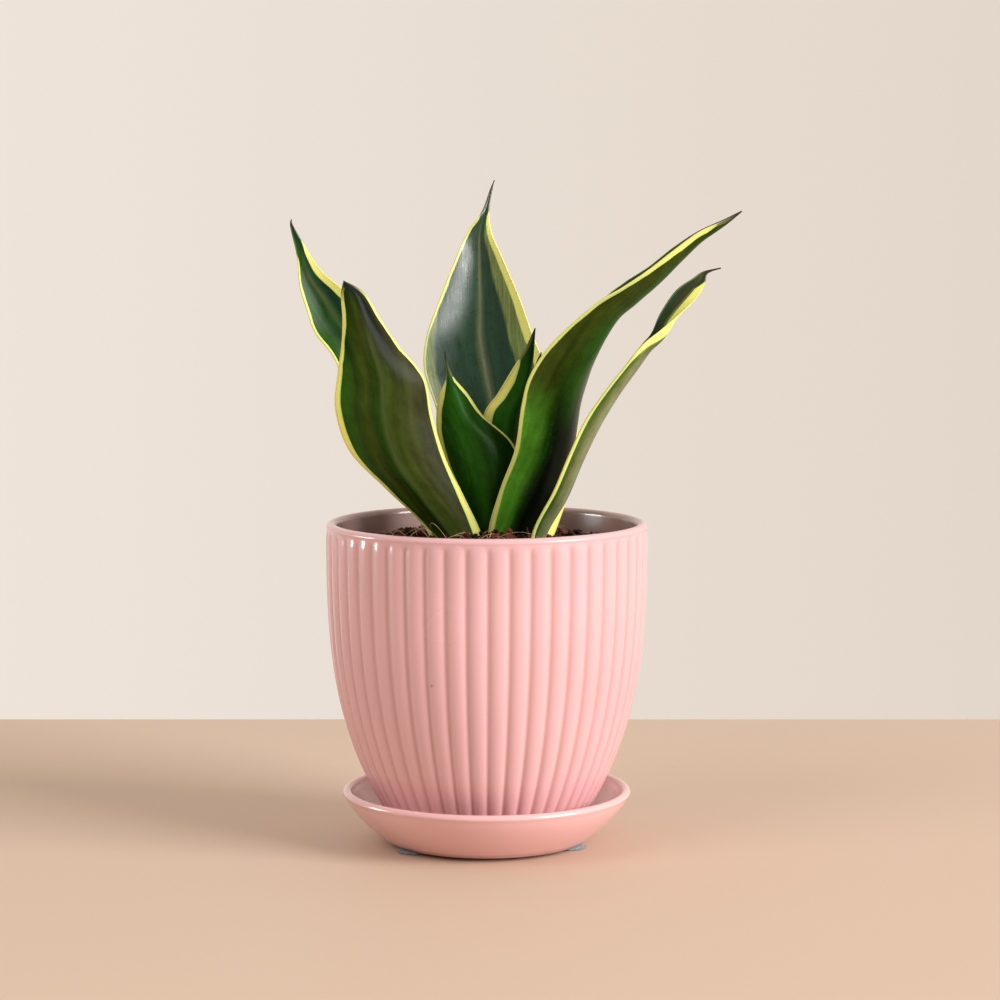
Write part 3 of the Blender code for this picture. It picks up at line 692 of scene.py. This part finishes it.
class Heap:
    """Many small closed shapes gathered into one mesh, each with its own tint."""

    def __init__(self):
        self.points, self.faces, self.tints = [], [], []

    def add(self, points, faces, tint):
        start = len(self.points)
        self.points.extend(points)
        self.faces.extend(tuple(start + i for i in face) for face in faces)
        self.tints.extend([tint] * len(points))

    def piece(self, name, finish, slot, *nodes, smooth=True):
        made = new_piece(name, self.points, self.faces, finish, slot, *nodes, smooth=smooth)
        store(made, "tint", "FLOAT", self.tints)
        return made


# ---------------------------------------------------------------- pot
def pot_outer(pot, height):
    """Radius of the outer face at a height, over the crests of the ribs."""
    share = (height - POT_LOW.z) / (RIM_Z - POT_LOW.z)
    turn_in = (1.0 - share) ** pot.flare
    return pot.rim_radius - (pot.rim_radius - pot.foot_radius) * turn_in


def pot_inner(pot, height):
    step = 0.001
    slope = (pot_outer(pot, height + step) - pot_outer(pot, height - step)) / (2 * step)
    return pot_outer(pot, height) - pot.wall * math.sqrt(1.0 + slope * slope)


def rib_setback(pot, angle, height):
    """How far the outer face lies behind the crests: round ribs whose tips end in an arch."""
    tip_length = math.pi * pot.rim_radius / pot.ribs
    below = RIM_Z - pot.band - height
    first = math.radians(-90.0) + pot.rib_phase
    turn = (angle - first) * pot.ribs / math.tau
    across = 2.0 * (turn - math.floor(turn) - 0.5)
    short = max(0.0, 1.0 - max(below, 0.0) / tip_length)
    far = min(math.hypot(across, short), 1.0)
    rise = 1.0 - far ** 2.3
    soft_tip = smoothstep((below + 0.0016) / 0.0020)
    reach = 0.30 * soft_tip + 0.70 * smoothstep(below / tip_length)
    above_foot = smoothstep((height - POT_LOW.z - 0.0012) / 0.0030)
    return reach * above_foot * (1.0 - rise)


class PLANT_OT_pot(bpy.types.Operator):
    """Ribbed pot: one turned wall with a rounded lip, round ribs and a drained floor"""
    bl_idname = "plant.pot"
    bl_label = "Pot"

    columns_per_rib = 12
    wall_rows = 70
    inner_rows = 26
    inner_taper = 0.0010
    foot_hollow = 0.0015
    foot_round = 0.0010
    foot_ring = 0.0048
    drain_bevel = 0.0006
    out_of_round = 0.0012

    def profile(self, pot):
        """Radius, height, rib share and share of the inside colour (painted shade) of each ring, from the
        drain hole's top out under the foot, up the ribbed face, over the lip, down inside and back."""
        lip = pot.wall / 2
        lip_z = RIM_Z - lip
        foot = POT_LOW.z
        under = foot + self.foot_hollow
        floor_z = under + pot.floor
        corner_z = floor_z + pot.wall
        bevel = self.drain_bevel
        ring_inner = pot.foot_radius - self.foot_ring
        rings = [(pot.drain_radius, floor_z - bevel, 0, 1), (pot.drain_radius, under + bevel, 0, 1),
                 (pot.drain_radius + bevel, under, 0, 0), (ring_inner - 0.0018, under, 0, 0),
                 (ring_inner - 0.0007, foot + 0.0003, 0, 0), (ring_inner, foot, 0, 0)]
        rings += [(radius, height, 0, 0) for radius, height, _ in
                  arc(pot.foot_radius - self.foot_round, foot + self.foot_round, self.foot_round,
                      -90.0, 0.0, 5)]
        for share in spread(0.0, 1.0, self.wall_rows):
            height = foot + 0.0014 + (lip_z - foot - 0.0014) * (1.0 - (1.0 - share) ** 1.25)
            rings.append((pot_outer(pot, height), height, 1, 0))
        rings += [(radius, height, 0, smoothstep((angle - 70.0) / 50.0)) for radius, height, angle in
                  arc(pot.rim_radius - lip, lip_z, lip, 12.0, 168.0, 12)]
        for share in spread(0.0, 1.0, self.inner_rows):
            height = lip_z + (corner_z - lip_z) * share
            taper = self.inner_taper * smoothstep((lip_z - height) / 0.012)
            rings.append((pot_inner(pot, height) - taper * (1.0 - share), height, 0, 1))
        rings += [(radius, height, 0, 1) for radius, height, _ in
                  arc(pot_inner(pot, corner_z) - pot.wall, corner_z, pot.wall, -15.0, -90.0, 5)]
        return [*rings, (pot.drain_radius + bevel, floor_z, 0, 1)]

    def execute(self, context):
        pot = settings("pot")
        rings = self.profile(pot)
        around = pot.ribs * self.columns_per_rib
        points, groove, lining = [], [], []
        for radius, height, ribbed, inside_share in rings:
            for j in range(around):
                angle = math.tau * j / around
                back = rib_setback(pot, angle, height) if ribbed else 0.0
                wobble = 1.0 + self.out_of_round * math.sin(3.0 * angle + 1.3) * (height / RIM_Z)
                reach = (radius - pot.rib_depth * back) * (wobble if radius > 0.01 else 1.0)
                points.append((reach * math.cos(angle), reach * math.sin(angle), height))
                groove.append(back)
                lining.append(inside_share)
        finish = glaze_finish("pink_glaze", pot.glaze, pot.lining)
        piece = new_piece("pot_body", points, ring_faces(len(rings), around, closed=True),
                          finish, "pot_glaze", "pot")
        store(piece, "groove", "FLOAT", groove)
        store(piece, "lining", "FLOAT", lining)
        return {"FINISHED"}


# ---------------------------------------------------------------- saucer and pads
class PLANT_OT_saucer(bpy.types.Operator):
    """Saucer: a shallow turned dish with a beaded lip and a flat foot ring"""
    bl_idname = "plant.saucer"
    bl_label = "Saucer"

    around = 192
    foot_inner = 0.0262
    recess = 0.0003
    warp = 0.00012

    def profile(self, dish):
        """Radius, height and share of the inside colour (painted light) from the middle of the floor round
        to the foot.
        """
        foot = SAUCER_LOW.z
        height = SAUCER_HIGH.z - foot
        lip = dish.wall / 2
        lip_z = SAUCER_HIGH.z - lip
        floor_z = foot + dish.floor

        def outer(share):
            flare = 1.0 - (1.0 - share) ** dish.flare
            return dish.foot_radius + (dish.rim_radius - dish.foot_radius) * flare

        rings = [(r, floor_z, 1) for r in (CENTRE, 0.010, 0.020, 0.030)]
        inner = []
        for share in spread(0.30, 1.0 - lip / height, 14):
            inner.append((outer(share) - dish.wall, foot + height * share, 1))
        corner_r, corner_z, _ = inner[0]
        start = dish.foot_radius - 0.0035
        for share in spread(0.0, 0.9, 7):
            sweep = smoothstep(share) * 0.5 + share * 0.5
            rings.append((start + (corner_r - start) * share ** 0.8,
                          floor_z + (corner_z - floor_z) * sweep ** 2, 1))
        rings += inner[:-1]
        rings += [(radius, z, smoothstep((angle - 130.0) / 50.0)) for radius, z, angle in
                  arc(dish.rim_radius - lip, lip_z, lip, 180.0, 0.0, 13)]
        for share in spread(0.88, 0.06, 16):
            rings.append((outer(share), foot + height * share, 0))
        rings += [(dish.foot_radius, foot + 0.0007, 0), (dish.foot_radius - 0.0003, foot + 0.0002, 0),
                  (dish.foot_radius - 0.0010, foot, 0), (self.foot_inner, foot, 0),
                  (self.foot_inner - 0.0004, foot + self.recess, 0),
                  (0.0120, foot + self.recess, 0), (CENTRE, foot + self.recess, 0)]
        return rings

    def execute(self, context):
        dish = settings("saucer")
        rings = self.profile(dish)
        points, lining = [], []
        for radius, height, inside_share in rings:
            for j in range(self.around):
                angle = math.tau * j / self.around
                lift = self.warp * math.sin(2.0 * angle + 0.6) * smoothstep((height - 0.010) / 0.010)
                points.append((radius * math.cos(angle), radius * math.sin(angle), height + lift))
                lining.append(inside_share)
        faces = [face[::-1] for face in capped_faces(len(rings), self.around)]
        finish = glaze_finish("saucer_glaze", dish.glaze, dish.lining)
        piece = new_piece("saucer_dish", points, faces, finish, "saucer_glaze", "saucer")
        store(piece, "groove", "FLOAT", [0.0] * len(points))
        store(piece, "lining", "FLOAT", lining)
        return {"FINISHED"}


class PLANT_OT_pads(bpy.types.Operator):
    """Felt pads: soft-edged discs with loose fibres round their sides"""
    bl_idname = "plant.pads"
    bl_label = "Felt pads"

    fibres = 150

    def disc(self, low, high, rng):
        """A disc between two corners, with a rounded and slightly ragged edge."""
        middle = (low + high) / 2
        radius, half = (high.x - low.x) / 2, (high.z - low.z) / 2
        around, points = 64, []
        rings = [(0.04, -1.0), (0.7, -1.0), (0.95, -1.0), (0.99, -0.6), (1.0, 0.0), (0.99, 0.6),
                 (0.95, 1.0), (0.7, 1.0), (0.04, 1.0)]
        for reach, rise in rings:
            for j in range(around):
                angle = math.tau * j / around
                rough = 1.0 - 0.02 * rng.random() * reach
                points.append(middle + Vector((radius * reach * rough * math.cos(angle),
                                               radius * reach * rough * math.sin(angle),
                                               half * rise)))
        return points, capped_faces(len(rings), around), middle, radius, half

    def execute(self, context):
        finish = felt_finish(settings("saucer").felt)
        for index in (1, 2, 3):
            node = f"saucer_pad_{index}"
            low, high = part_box(node)
            rng = random.Random(40 + index)
            points, faces, middle, radius, half = self.disc(low, high, rng)
            heap = Heap()
            heap.add(points, faces, 0.5)
            for _ in range(self.fibres):
                angle = rng.uniform(0.0, math.tau)
                out = Vector((math.cos(angle), math.sin(angle), 0.0))
                side = Vector((-out.y, out.x, 0.0))
                start = middle + out * radius * 0.97 + Vector((0, 0, half * rng.uniform(-0.6, 0.7)))
                bend = rng.uniform(-0.7, 0.7)
                path = [start + (out + side * bend * s) * (0.0011 * s)
                        + Vector((0, 0, 0.0002 * s * rng.uniform(-1.0, 1.0)))
                        for s in spread(0.0, rng.uniform(0.3, 1.0), 4)]
                heap.add(*tube(path, 0.00004, 3), rng.random())
            heap.piece(f"felt_pad_{index}", finish, "pad_felt", node)
        return {"FINISHED"}


# ---------------------------------------------------------------- soil
# Small heaps of crumbs: x, y, how many, spread and height in millimetres.
SOIL_HEAPS = (
    (-31, -31, 260, 4.8, 6.0),
    (-23, -35, 240, 4.2, 5.2),
    (-36, -22, 90, 4.0, 3.5),
    (8, -38, 260, 3.6, 6.0),
    (-2, -38, 90, 3.0, 2.2),
    (22, -34, 100, 3.6, 2.2),
    (33, -24, 220, 4.6, 6.0),
    (38, -12, 90, 3.5, 3.5),
    (2, 30, 90, 6.0, 2.5),
)

# Larger chips: x, y, lift and size in millimetres, then their stretch.
BARK_CHIPS = (
    (7.8, -40, 6.0, 3.0, (0.9, 0.6, 0.8)),
    (10.4, -39, 4.6, 2.6, (1.0, 0.6, 0.8)),
    (4.8, -40, 4.4, 2.6, (1.2, 0.6, 0.6)),
    (8.6, -38, 7.6, 1.8, (1.0, 0.6, 0.6)),
    (15.2, -36, 4.6, 2.8, (0.24, 0.24, 1.7)),
    (-22, -33, 1.0, 2.0, (1.4, 0.8, 0.5)),
    (31, -20, 1.4, 2.2, (1.3, 0.6, 0.6)),
)

# Tufts of fibres: x, y in millimetres, how many, and how upright.
FIBRE_TUFTS = (
    (-35, -29, 12, 3.4),
    (-29, -35, 8, 2.0),
    (-13, -40, 12, 4.6),
    (-6, -41, 14, 4.2),
    (0, -40, 12, 2.4),
    (5, -41, 8, 2.0),
    (16, -38, 8, 2.4),
    (25, -34, 8, 1.8),
)


def soil_height(x, y):
    """Height of the crumbly mound at a place."""
    share = min(math.hypot(x, y) / SOIL_EDGE, 1.0)
    mound = RIM_Z - SOIL_EDGE_DEPTH + SOIL_CROWN * (1.0 - share * share)
    lumps = noise.noise(Vector((x, y, 0.0)) * 260.0) * 0.0008
    return mound + lumps + noise.noise(Vector((x, y, 0.02)) * 700.0) * 0.0005


def crumb(rng, size, middle, stretch=(1.0, 1.0, 1.0), rough=0.45):
    """A rough crumb or chip: an icosphere with its corners pushed in and out."""
    work = bmesh.new()
    bmesh.ops.create_icosphere(work, subdivisions=1, radius=1.0)
    shift = Vector((rng.random(), rng.random(), rng.random())) * 50.0
    turn = Vector((rng.uniform(-1, 1), rng.uniform(-1, 1), rng.uniform(-1, 1))).normalized()
    quarter = turn.rotation_difference(Vector((0.0, 0.0, 1.0)))
    points = []
    for vertex in work.verts:
        push = 1.0 + rough * noise.noise(vertex.co * 1.7 + shift)
        local = Vector((vertex.co.x * stretch[0], vertex.co.y * stretch[1],
                        vertex.co.z * stretch[2])) * push * size
        points.append(quarter @ local + middle)
    faces = [tuple(v.index for v in face.verts) for face in work.faces]
    work.free()
    return points, faces


class PLANT_OT_soil(bpy.types.Operator):
    """Potting mix: a crumbly mound with coir crumbs, bark chips and loose fibres on it"""
    bl_idname = "plant.soil"
    bl_label = "Soil"

    around = 160
    rows = 44
    bottom_round = 0.0042
    crumb_reach = SOIL_HIGH.x - 0.0022
    chip_reach = SOIL_HIGH.x - 0.006
    fibre_start = SOIL_HIGH.x - 0.012
    fibre_reach = SOIL_HIGH.x - 0.0025

    def mound(self, soil):
        """The filled body of mix inside the pot, rough on top."""
        pot = settings("pot")
        points, tints = [], []
        rings = [(max(SOIL_EDGE * share, CENTRE), None) for share in spread(0.0, 1.0, self.rows)]
        corner = SOIL_LOW.z + self.bottom_round
        low = RIM_Z - 0.0130
        for height in spread(low, corner, 16):
            rings.append((pot_inner(pot, height) - SOIL_GAP, height))
        rings.append((pot_inner(pot, corner) - 0.0050, SOIL_LOW.z))
        rings.append((CENTRE, SOIL_LOW.z))
        rng = random.Random(11)
        for radius, height in rings:
            for j in range(self.around):
                angle = math.tau * j / self.around
                x, y = radius * math.cos(angle), radius * math.sin(angle)
                points.append((x, y, soil_height(x, y) if height is None else height))
                tints.append(rng.random() * 0.4)
        faces = [face[::-1] for face in capped_faces(len(rings), self.around)]
        finish = soil_finish("damp_coir", soil.dark, soil.bark, 0.35)
        piece = new_piece("soil_mound", points, faces, finish, "potting_mix", "soil")
        store(piece, "tint", "FLOAT", tints)

    def scatter(self, rng, reach):
        """A place anywhere on the soil within a radius."""
        radius = reach * math.sqrt(rng.random())
        angle = rng.uniform(0.0, math.tau)
        return radius * math.cos(angle), radius * math.sin(angle)

    def crumbs(self, soil):
        rng = random.Random(5)
        heap = Heap()
        for _ in range(soil.crumbs):
            x, y = self.scatter(rng, self.crumb_reach)
            size = rng.uniform(0.0005, 0.0013) * (1.0 + 0.6 * (rng.random() > 0.85))
            middle = Vector((x, y, soil_height(x, y) + size * rng.uniform(0.0, 0.9)))
            stretch = (1.0, rng.uniform(0.6, 1.0), rng.uniform(0.6, 1.0))
            heap.add(*crumb(rng, size, middle, stretch), rng.random() ** 2)
        for x, y, count, spread_mm, pile_mm in SOIL_HEAPS:
            for _ in range(count):
                px = (x + rng.gauss(0.0, spread_mm)) * MM
                py = (y + rng.gauss(0.0, spread_mm * 0.7)) * MM
                if math.hypot(px, py) > self.crumb_reach:
                    continue
                near = math.exp(-((px / MM - x) ** 2 + (py / MM - y) ** 2) / (2 * spread_mm ** 2))
                size = rng.uniform(0.0005, 0.0012)
                lift = pile_mm * MM * near * rng.random()
                middle = Vector((px, py, soil_height(px, py) + lift + size * 0.4))
                heap.add(*crumb(rng, size, middle, (1.0, 0.8, 0.7)), rng.random() ** 2)
        finish = soil_finish("coir_crumbs", soil.dark, soil.bark, 0.75)
        heap.piece("soil_crumbs", finish, "potting_mix", "soil", smooth=False)

    def chips(self, soil):
        rng = random.Random(8)
        heap = Heap()
        for _ in range(soil.chips):
            x, y = self.scatter(rng, self.chip_reach)
            size = rng.uniform(0.0012, 0.0024)
            middle = Vector((x, y, soil_height(x, y) + size * 0.3))
            heap.add(*crumb(rng, size, middle, (1.6, 0.8, 0.45), 0.6), rng.random())
        for x, y, lift, size, stretch in BARK_CHIPS:
            middle = Vector((x * MM, y * MM, soil_height(x * MM, y * MM) + lift * MM))
            heap.add(*crumb(rng, size * MM, middle, stretch, 0.55), 0.6 + 0.4 * rng.random())
        finish = soil_finish("bark_chips", soil.dark, soil.bark, 1.0)
        heap.piece("soil_bark", finish, "potting_mix", "soil", smooth=False)

    def fibres(self, soil):
        rng = random.Random(21)
        heap = Heap()
        starts = [(self.scatter(rng, self.fibre_start), 1.0) for _ in range(soil.fibres)]
        for x, y, count, tall in FIBRE_TUFTS:
            for _ in range(count):
                place = ((x + rng.gauss(0, 1.6)) * MM, (y + rng.gauss(0, 1.2)) * MM)
                starts.append((place, tall))
        for (x, y), tall in starts:
            heading = rng.uniform(0.0, math.tau)
            length = rng.uniform(0.006, 0.014) * tall ** 0.6
            rise = rng.uniform(0.1, 0.5) * tall
            curl = rng.uniform(-2.6, 2.6)
            point = Vector((x, y, soil_height(x, y) - 0.0006))
            path = [point.copy()]
            steps = 9
            for i in range(steps):
                share = i / steps
                heading += curl / steps
                climb = rise * (1.0 - 1.7 * share)
                step = Vector((math.cos(heading), math.sin(heading), climb)).normalized()
                point += step * length / steps
                far = math.hypot(point.x, point.y) / self.fibre_reach
                if far > 1.0:
                    point.x, point.y = point.x / far, point.y / far
                path.append(point.copy())
            heap.add(*tube(path, rng.uniform(0.00008, 0.00017), 4), rng.random())
        finish = soil_finish("coir_fibres", [c * 0.6 for c in soil.fibre], soil.fibre, 1.0)
        heap.piece("soil_fibres", finish, "potting_mix", "soil")

    def execute(self, context):
        soil = settings("soil")
        self.mound(soil)
        self.crumbs(soil)
        self.chips(soil)
        self.fibres(soil)
        return {"FINISHED"}


# ---------------------------------------------------------------- leaves
def catmull(a, b, c, d, t):
    """A smooth value between b and c, led by their neighbours a and d."""
    return 0.5 * (2 * b + (c - a) * t + (2 * a - 5 * b + 4 * c - d) * t * t
                  + (3 * b - a - 3 * c + d) * t ** 3)


def leaf_sections(rows, steps):
    """Left margin, right margin and channel depth in metres, smoothly between the rows."""
    rim = Vector((0.0, 0.0, RIM_Z))
    lowest = rows[0][2]
    drawn = []
    for row in rows:
        margins = []
        for x, y, z in (row[:3], row[3:6]):
            point = Vector((x, y, z)) * MM + rim
            if z == lowest:
                point.z = CROWN_Z + LEAF_GAP
            margins.append(point)
        drawn.append((margins[0], margins[1], row[6] * MM))
    sections = []
    for i in range(len(drawn) - 1):
        before = drawn[max(i - 1, 0)]
        after = drawn[min(i + 2, len(drawn) - 1)]
        for step in range(steps):
            t = step / steps
            sections.append(tuple(
                catmull(before[k], drawn[i][k], drawn[i + 1][k], after[k], t) for k in range(3)))
    sections.append(drawn[-1])
    return sections


class PLANT_OT_leaves(bpy.types.Operator):
    """Leaves: eight lofted blades with a keel, rounded margins and painted variegation"""
    bl_idname = "plant.leaves"
    bl_label = "Leaves"

    steps = 9
    across = 27
    keel_power = 1.7
    fields = {"blade": "FLOAT_COLOR", "marks": "FLOAT_VECTOR", "traits": "FLOAT_VECTOR",
              "lane": "FLOAT_VECTOR", "gloss": "FLOAT"}

    def ring(self, sections, index, look):
        """One closed cross-section: its points, and for each its place across and its face."""
        left, right, channel = sections[index]
        ahead = sections[min(index + 1, len(sections) - 1)]
        behind = sections[max(index - 1, 0)]
        along = (ahead[0] + ahead[1]) - (behind[0] + behind[1])
        middle, half = (left + right) / 2, (right - left) / 2
        out = half.cross(along)
        if out.length < 1e-12:
            out = Vector((0.0, -1.0, 0.0))
        if index == 0:
            out.z = 0.0
        out.normalize()
        width = max(half.length, 1e-5)
        thick = min(look.thickness, 0.6 * width + 0.0004)
        edge = min(look.edge, thick)
        ridge = half.normalized() if half.length > 1e-9 else Vector((1.0, 0.0, 0.0))
        inset = max(1.0 - edge / 2 / width, 0.2)
        outer, inner = [], []
        for j in range(self.across):
            u = math.sin(math.radians(-90.0 + 180.0 * j / (self.across - 1)))
            bow = channel * (1.0 - abs(u) ** self.keel_power)
            spine = middle + half * u * inset + out * bow
            thickness = edge + (thick - edge) * (1.0 - u * u)
            outer.append((spine + out * thickness / 2, u, 1.0))
            inner.append((spine - out * thickness / 2, u, -1.0))
        caps = []
        for side in (1.0, -1.0):
            spine = middle + half * side * inset
            cap = []
            for angle in (45.0, 0.0, -45.0):
                turn = math.radians(angle)
                point = (spine + ridge * side * math.cos(turn) * edge / 2
                         + out * math.sin(turn) * edge / 2)
                cap.append((point, side, math.copysign(1.0, angle)))
            caps.append(cap)
        ring = outer + caps[0] + inner[::-1] + caps[1][::-1]
        if index == 0:
            ring = [(Vector((p.x, p.y, middle.z)), u, face) for p, u, face in ring]
        return ring, width

    def green(self, look, stops, u):
        """The blade's colour at a place across, between stops of place and colour name."""
        colours = [(at, getattr(look, name)) for at, name in stops]
        return [table([(at, colour[k]) for at, colour in colours], u) for k in range(3)]

    def paint(self, name, look, ring, width, height, travelled, left_over, number):
        """The values that the leaf's material reads, for each point of a cross-section."""
        marks = LEAF_LOOKS[name]
        bands = [table(marks[side], height) for side in ("left", "right")]
        zones = [table(rows, height) for rows in marks.get("mottle", NO_MOTTLE)]
        strength, keel_width, keel_at = marks["keel"]
        start, end = marks["crown_from"]
        crown = smoothstep((height - start) / (end - start))
        for _, u, face in ring:
            reach = (width * 1.12 / MM * (1.0 + u), width * 1.12 / MM * (1.0 - u))
            yellow = max(bands[0] - reach[0], bands[1] - reach[1])
            mottle = max(bands[0] + zones[0] - reach[0], bands[1] + zones[1] - reach[1])
            mottle = mottle if zones[0] + zones[1] > 0.0 else -9.0
            if face > 0.0:
                lower, upper = (self.green(look, marks[key], u) for key in ("outer", "crown"))
                blade = [a + (b - a) * crown for a, b in zip(lower, upper)]
                dotted = marks["speckle"] * smoothstep((-0.2 - u) / 0.3) * (1.0 - crown)
                shine = 0.0
            else:
                blade = self.green(look, marks["inner"], u)
                dotted = 0.0
                shine = marks.get("shine", 0.15)
            off = abs(u - keel_at) * width / MM / keel_width
            keel = strength * math.exp(-off * off * 2.0) * smoothstep((left_over - 6.0) / 20.0)
            yield (blade, (yellow, mottle, keel), (dotted, min(reach), left_over),
                   (u * width / MM, travelled, number * 37.0 + face * 11.0), shine)

    def leaf(self, name, look, finish, number):
        sections = leaf_sections(LEAF_ROWS[name], self.steps)
        middles = [(s[0] + s[1]) / 2 for s in sections]
        travel = [0.0]
        for a, b in zip(middles, middles[1:]):
            travel.append(travel[-1] + (b - a).length / MM)
        points, values = [], []
        for index in range(len(sections)):
            ring, width = self.ring(sections, index, look)
            height = (middles[index].z - RIM_Z) / MM
            points.extend(p for p, _, _ in ring)
            values.extend(self.paint(name, look, ring, width, height, travel[index],
                                     travel[-1] - travel[index], number))
        piece = new_piece(name + "_blade", points, capped_faces(len(sections), len(ring)), finish,
                          "leaf", name)
        work = bmesh.new()
        work.from_mesh(piece.data)
        bmesh.ops.recalc_face_normals(work, faces=work.faces)
        work.to_mesh(piece.data)
        work.free()
        for (field, kind), column in zip(self.fields.items(), zip(*values)):
            store(piece, field, kind, column)

    def execute(self, context):
        look = settings("leaf")
        finish = leaf_finish(look)
        for number, name in enumerate(LEAF_ROWS):
            self.leaf(name, look, finish, number)
        return {"FINISHED"}


class PLANT_OT_rhizome(bpy.types.Operator):
    """Rhizome: gives the buried stem and its roots their skin"""
    bl_idname = "plant.rhizome"
    bl_label = "Rhizome"

    def execute(self, context):
        finish = root_finish(settings("soil").root)
        for slot in frame["nodes"]["rhizome"].material_slots:
            slot.material = finish
        return {"FINISHED"}


# ---------------------------------------------------------------- stage
class PLANT_OT_stage(bpy.types.Operator):
    """Stage: table, surroundings, lights and camera"""
    bl_idname = "plant.stage"
    bl_label = "Stage"

    def table_top(self, stage):
        made, _, shader = new_finish("table_top", 0.62, Specular_IOR_Level=0.18)
        shader.inputs["Base Color"].default_value = (*stage.floor, 1.0)
        half, back, front, under = 1.2, 0.262, -1.4, -0.03
        corners = [(-half, front), (half, front), (half, back), (-half, back)]
        mesh = bpy.data.meshes.new("table")
        points = [(x, y, z) for z in (under, 0.0) for x, y in corners]
        mesh.from_pydata(points, [], capped_faces(2, 4))
        floor = bpy.data.objects.new("table", mesh)
        mesh.materials.append(made)
        bpy.context.scene.collection.objects.link(floor)

    def surroundings(self, stage):
        world = bpy.data.worlds.new("studio")
        world.use_nodes = True
        tree = world.node_tree
        seen = put(tree, "LightPath").outputs["Is Camera Ray"]
        toward = put(tree, "SeparateXYZ", {0: put(tree, "TexCoord").outputs["Generated"]}).outputs
        ahead = remap(tree, toward["Y"], -0.35, 0.35, stage.room, 1.0, smooth=True)
        background = tree.nodes["Background"]
        # Left-to-right change of the wall colour: painted light falling across the wall.
        tree.links.new(mixed(tree, remap(tree, toward["X"], -0.17, 0.17), stage.wall,
                             stage.wall_right), background.inputs["Color"])
        tree.links.new(calc(tree, "MAXIMUM", seen, ahead), background.inputs["Strength"])
        bpy.context.scene.world = world

    def light(self, name, place, size, power, colour=(1.0, 0.99, 0.98), aim=(0.0, 0.0, 0.12)):
        data = bpy.data.lights.new(name, "AREA")
        data.shape = "RECTANGLE"
        data.size, data.size_y = size
        data.energy = power
        data.color = colour
        lamp = bpy.data.objects.new(name, data)
        lamp.location = place
        lamp.rotation_euler = (Vector(aim) - Vector(place)).to_track_quat("-Z", "Y").to_euler()
        bpy.context.scene.collection.objects.link(lamp)
        return lamp

    def only_gleam(self, lamp, names):
        """Leaves a lamp as a reflection on the named pieces."""
        lamp.visible_diffuse = False
        shiny = bpy.data.collections.new(lamp.name + "_seen_in")
        for name in names:
            shiny.objects.link(bpy.data.objects[name])
        lamp.light_linking.receiver_collection = shiny

    def camera(self):
        data = bpy.data.cameras.new("camera")
        data.lens = 108.0
        data.sensor_width = 36.0
        camera = bpy.data.objects.new("camera", data)
        camera.location = (0.00502, -1.115, 0.24345)
        camera.rotation_euler = (math.radians(84.156), 0.0, 0.0)
        bpy.context.scene.collection.objects.link(camera)
        bpy.context.scene.camera = camera

    def execute(self, context):
        stage = settings("stage")
        self.table_top(stage)
        self.surroundings(stage)
        self.light("key", (2.41, -1.39, 1.24), (1.6, 1.6), stage.key)
        fill = self.light("fill", (-1.7, -1.4, 1.9), (1.5, 1.5), stage.fill, (1.0, 0.98, 0.95))
        fill.visible_glossy = False
        window = self.light("window", (-1.3, 0.10, 0.27), (0.42, 0.42), stage.window,
                            (0.97, 0.98, 1.0))
        self.only_gleam(window, ("pot_body", "saucer_dish"))
        sheen = self.light("sheen", (0.64, -1.08, 0.095), (0.20, 0.18), stage.sheen,
                           aim=(0.0, 0.03, 0.2))
        self.only_gleam(sheen, ("leaf_back_centre_blade",))
        self.camera()
        bpy.context.scene.view_settings.view_transform = "Standard"
        return {"FINISHED"}


# ---------------------------------------------------------------- panel and registration
SETTINGS = {
    "pot": PlantPotSettings,
    "saucer": PlantSaucerSettings,
    "soil": PlantSoilSettings,
    "leaf": PlantLeafSettings,
    "stage": PlantStageSettings,
}
OPERATORS = (PLANT_OT_pot, PLANT_OT_saucer, PLANT_OT_pads, PLANT_OT_soil, PLANT_OT_rhizome,
             PLANT_OT_leaves, PLANT_OT_stage)


class PLANT_PT_panel(bpy.types.Panel):
    """Settings and build steps of the potted plant"""
    bl_idname = "PLANT_PT_panel"
    bl_label = "Potted plant"
    bl_space_type = "VIEW_3D"
    bl_region_type = "UI"
    bl_category = "Plant"

    def draw(self, context):
        for operator in OPERATORS:
            self.layout.operator(operator.bl_idname)
        for group, kind in SETTINGS.items():
            box = self.layout.box()
            box.label(text=group.capitalize())
            for key in kind.__annotations__:
                box.prop(settings(group), key)


def register():
    for kind in (*SETTINGS.values(), *OPERATORS, PLANT_PT_panel):
        bpy.utils.register_class(kind)
    for group, kind in SETTINGS.items():
        setattr(bpy.types.Scene, "plant_" + group, bpy.props.PointerProperty(type=kind))


def unregister():
    for group in SETTINGS:
        delattr(bpy.types.Scene, "plant_" + group)
    for kind in (PLANT_PT_panel, *OPERATORS[::-1], *SETTINGS.values()):
        bpy.utils.unregister_class(kind)


def main():
    register()
    for operator in OPERATORS:
        step = operator.bl_idname.split(".")[1]
        getattr(bpy.ops.plant, step)()


if __name__ == "__main__":
    main()
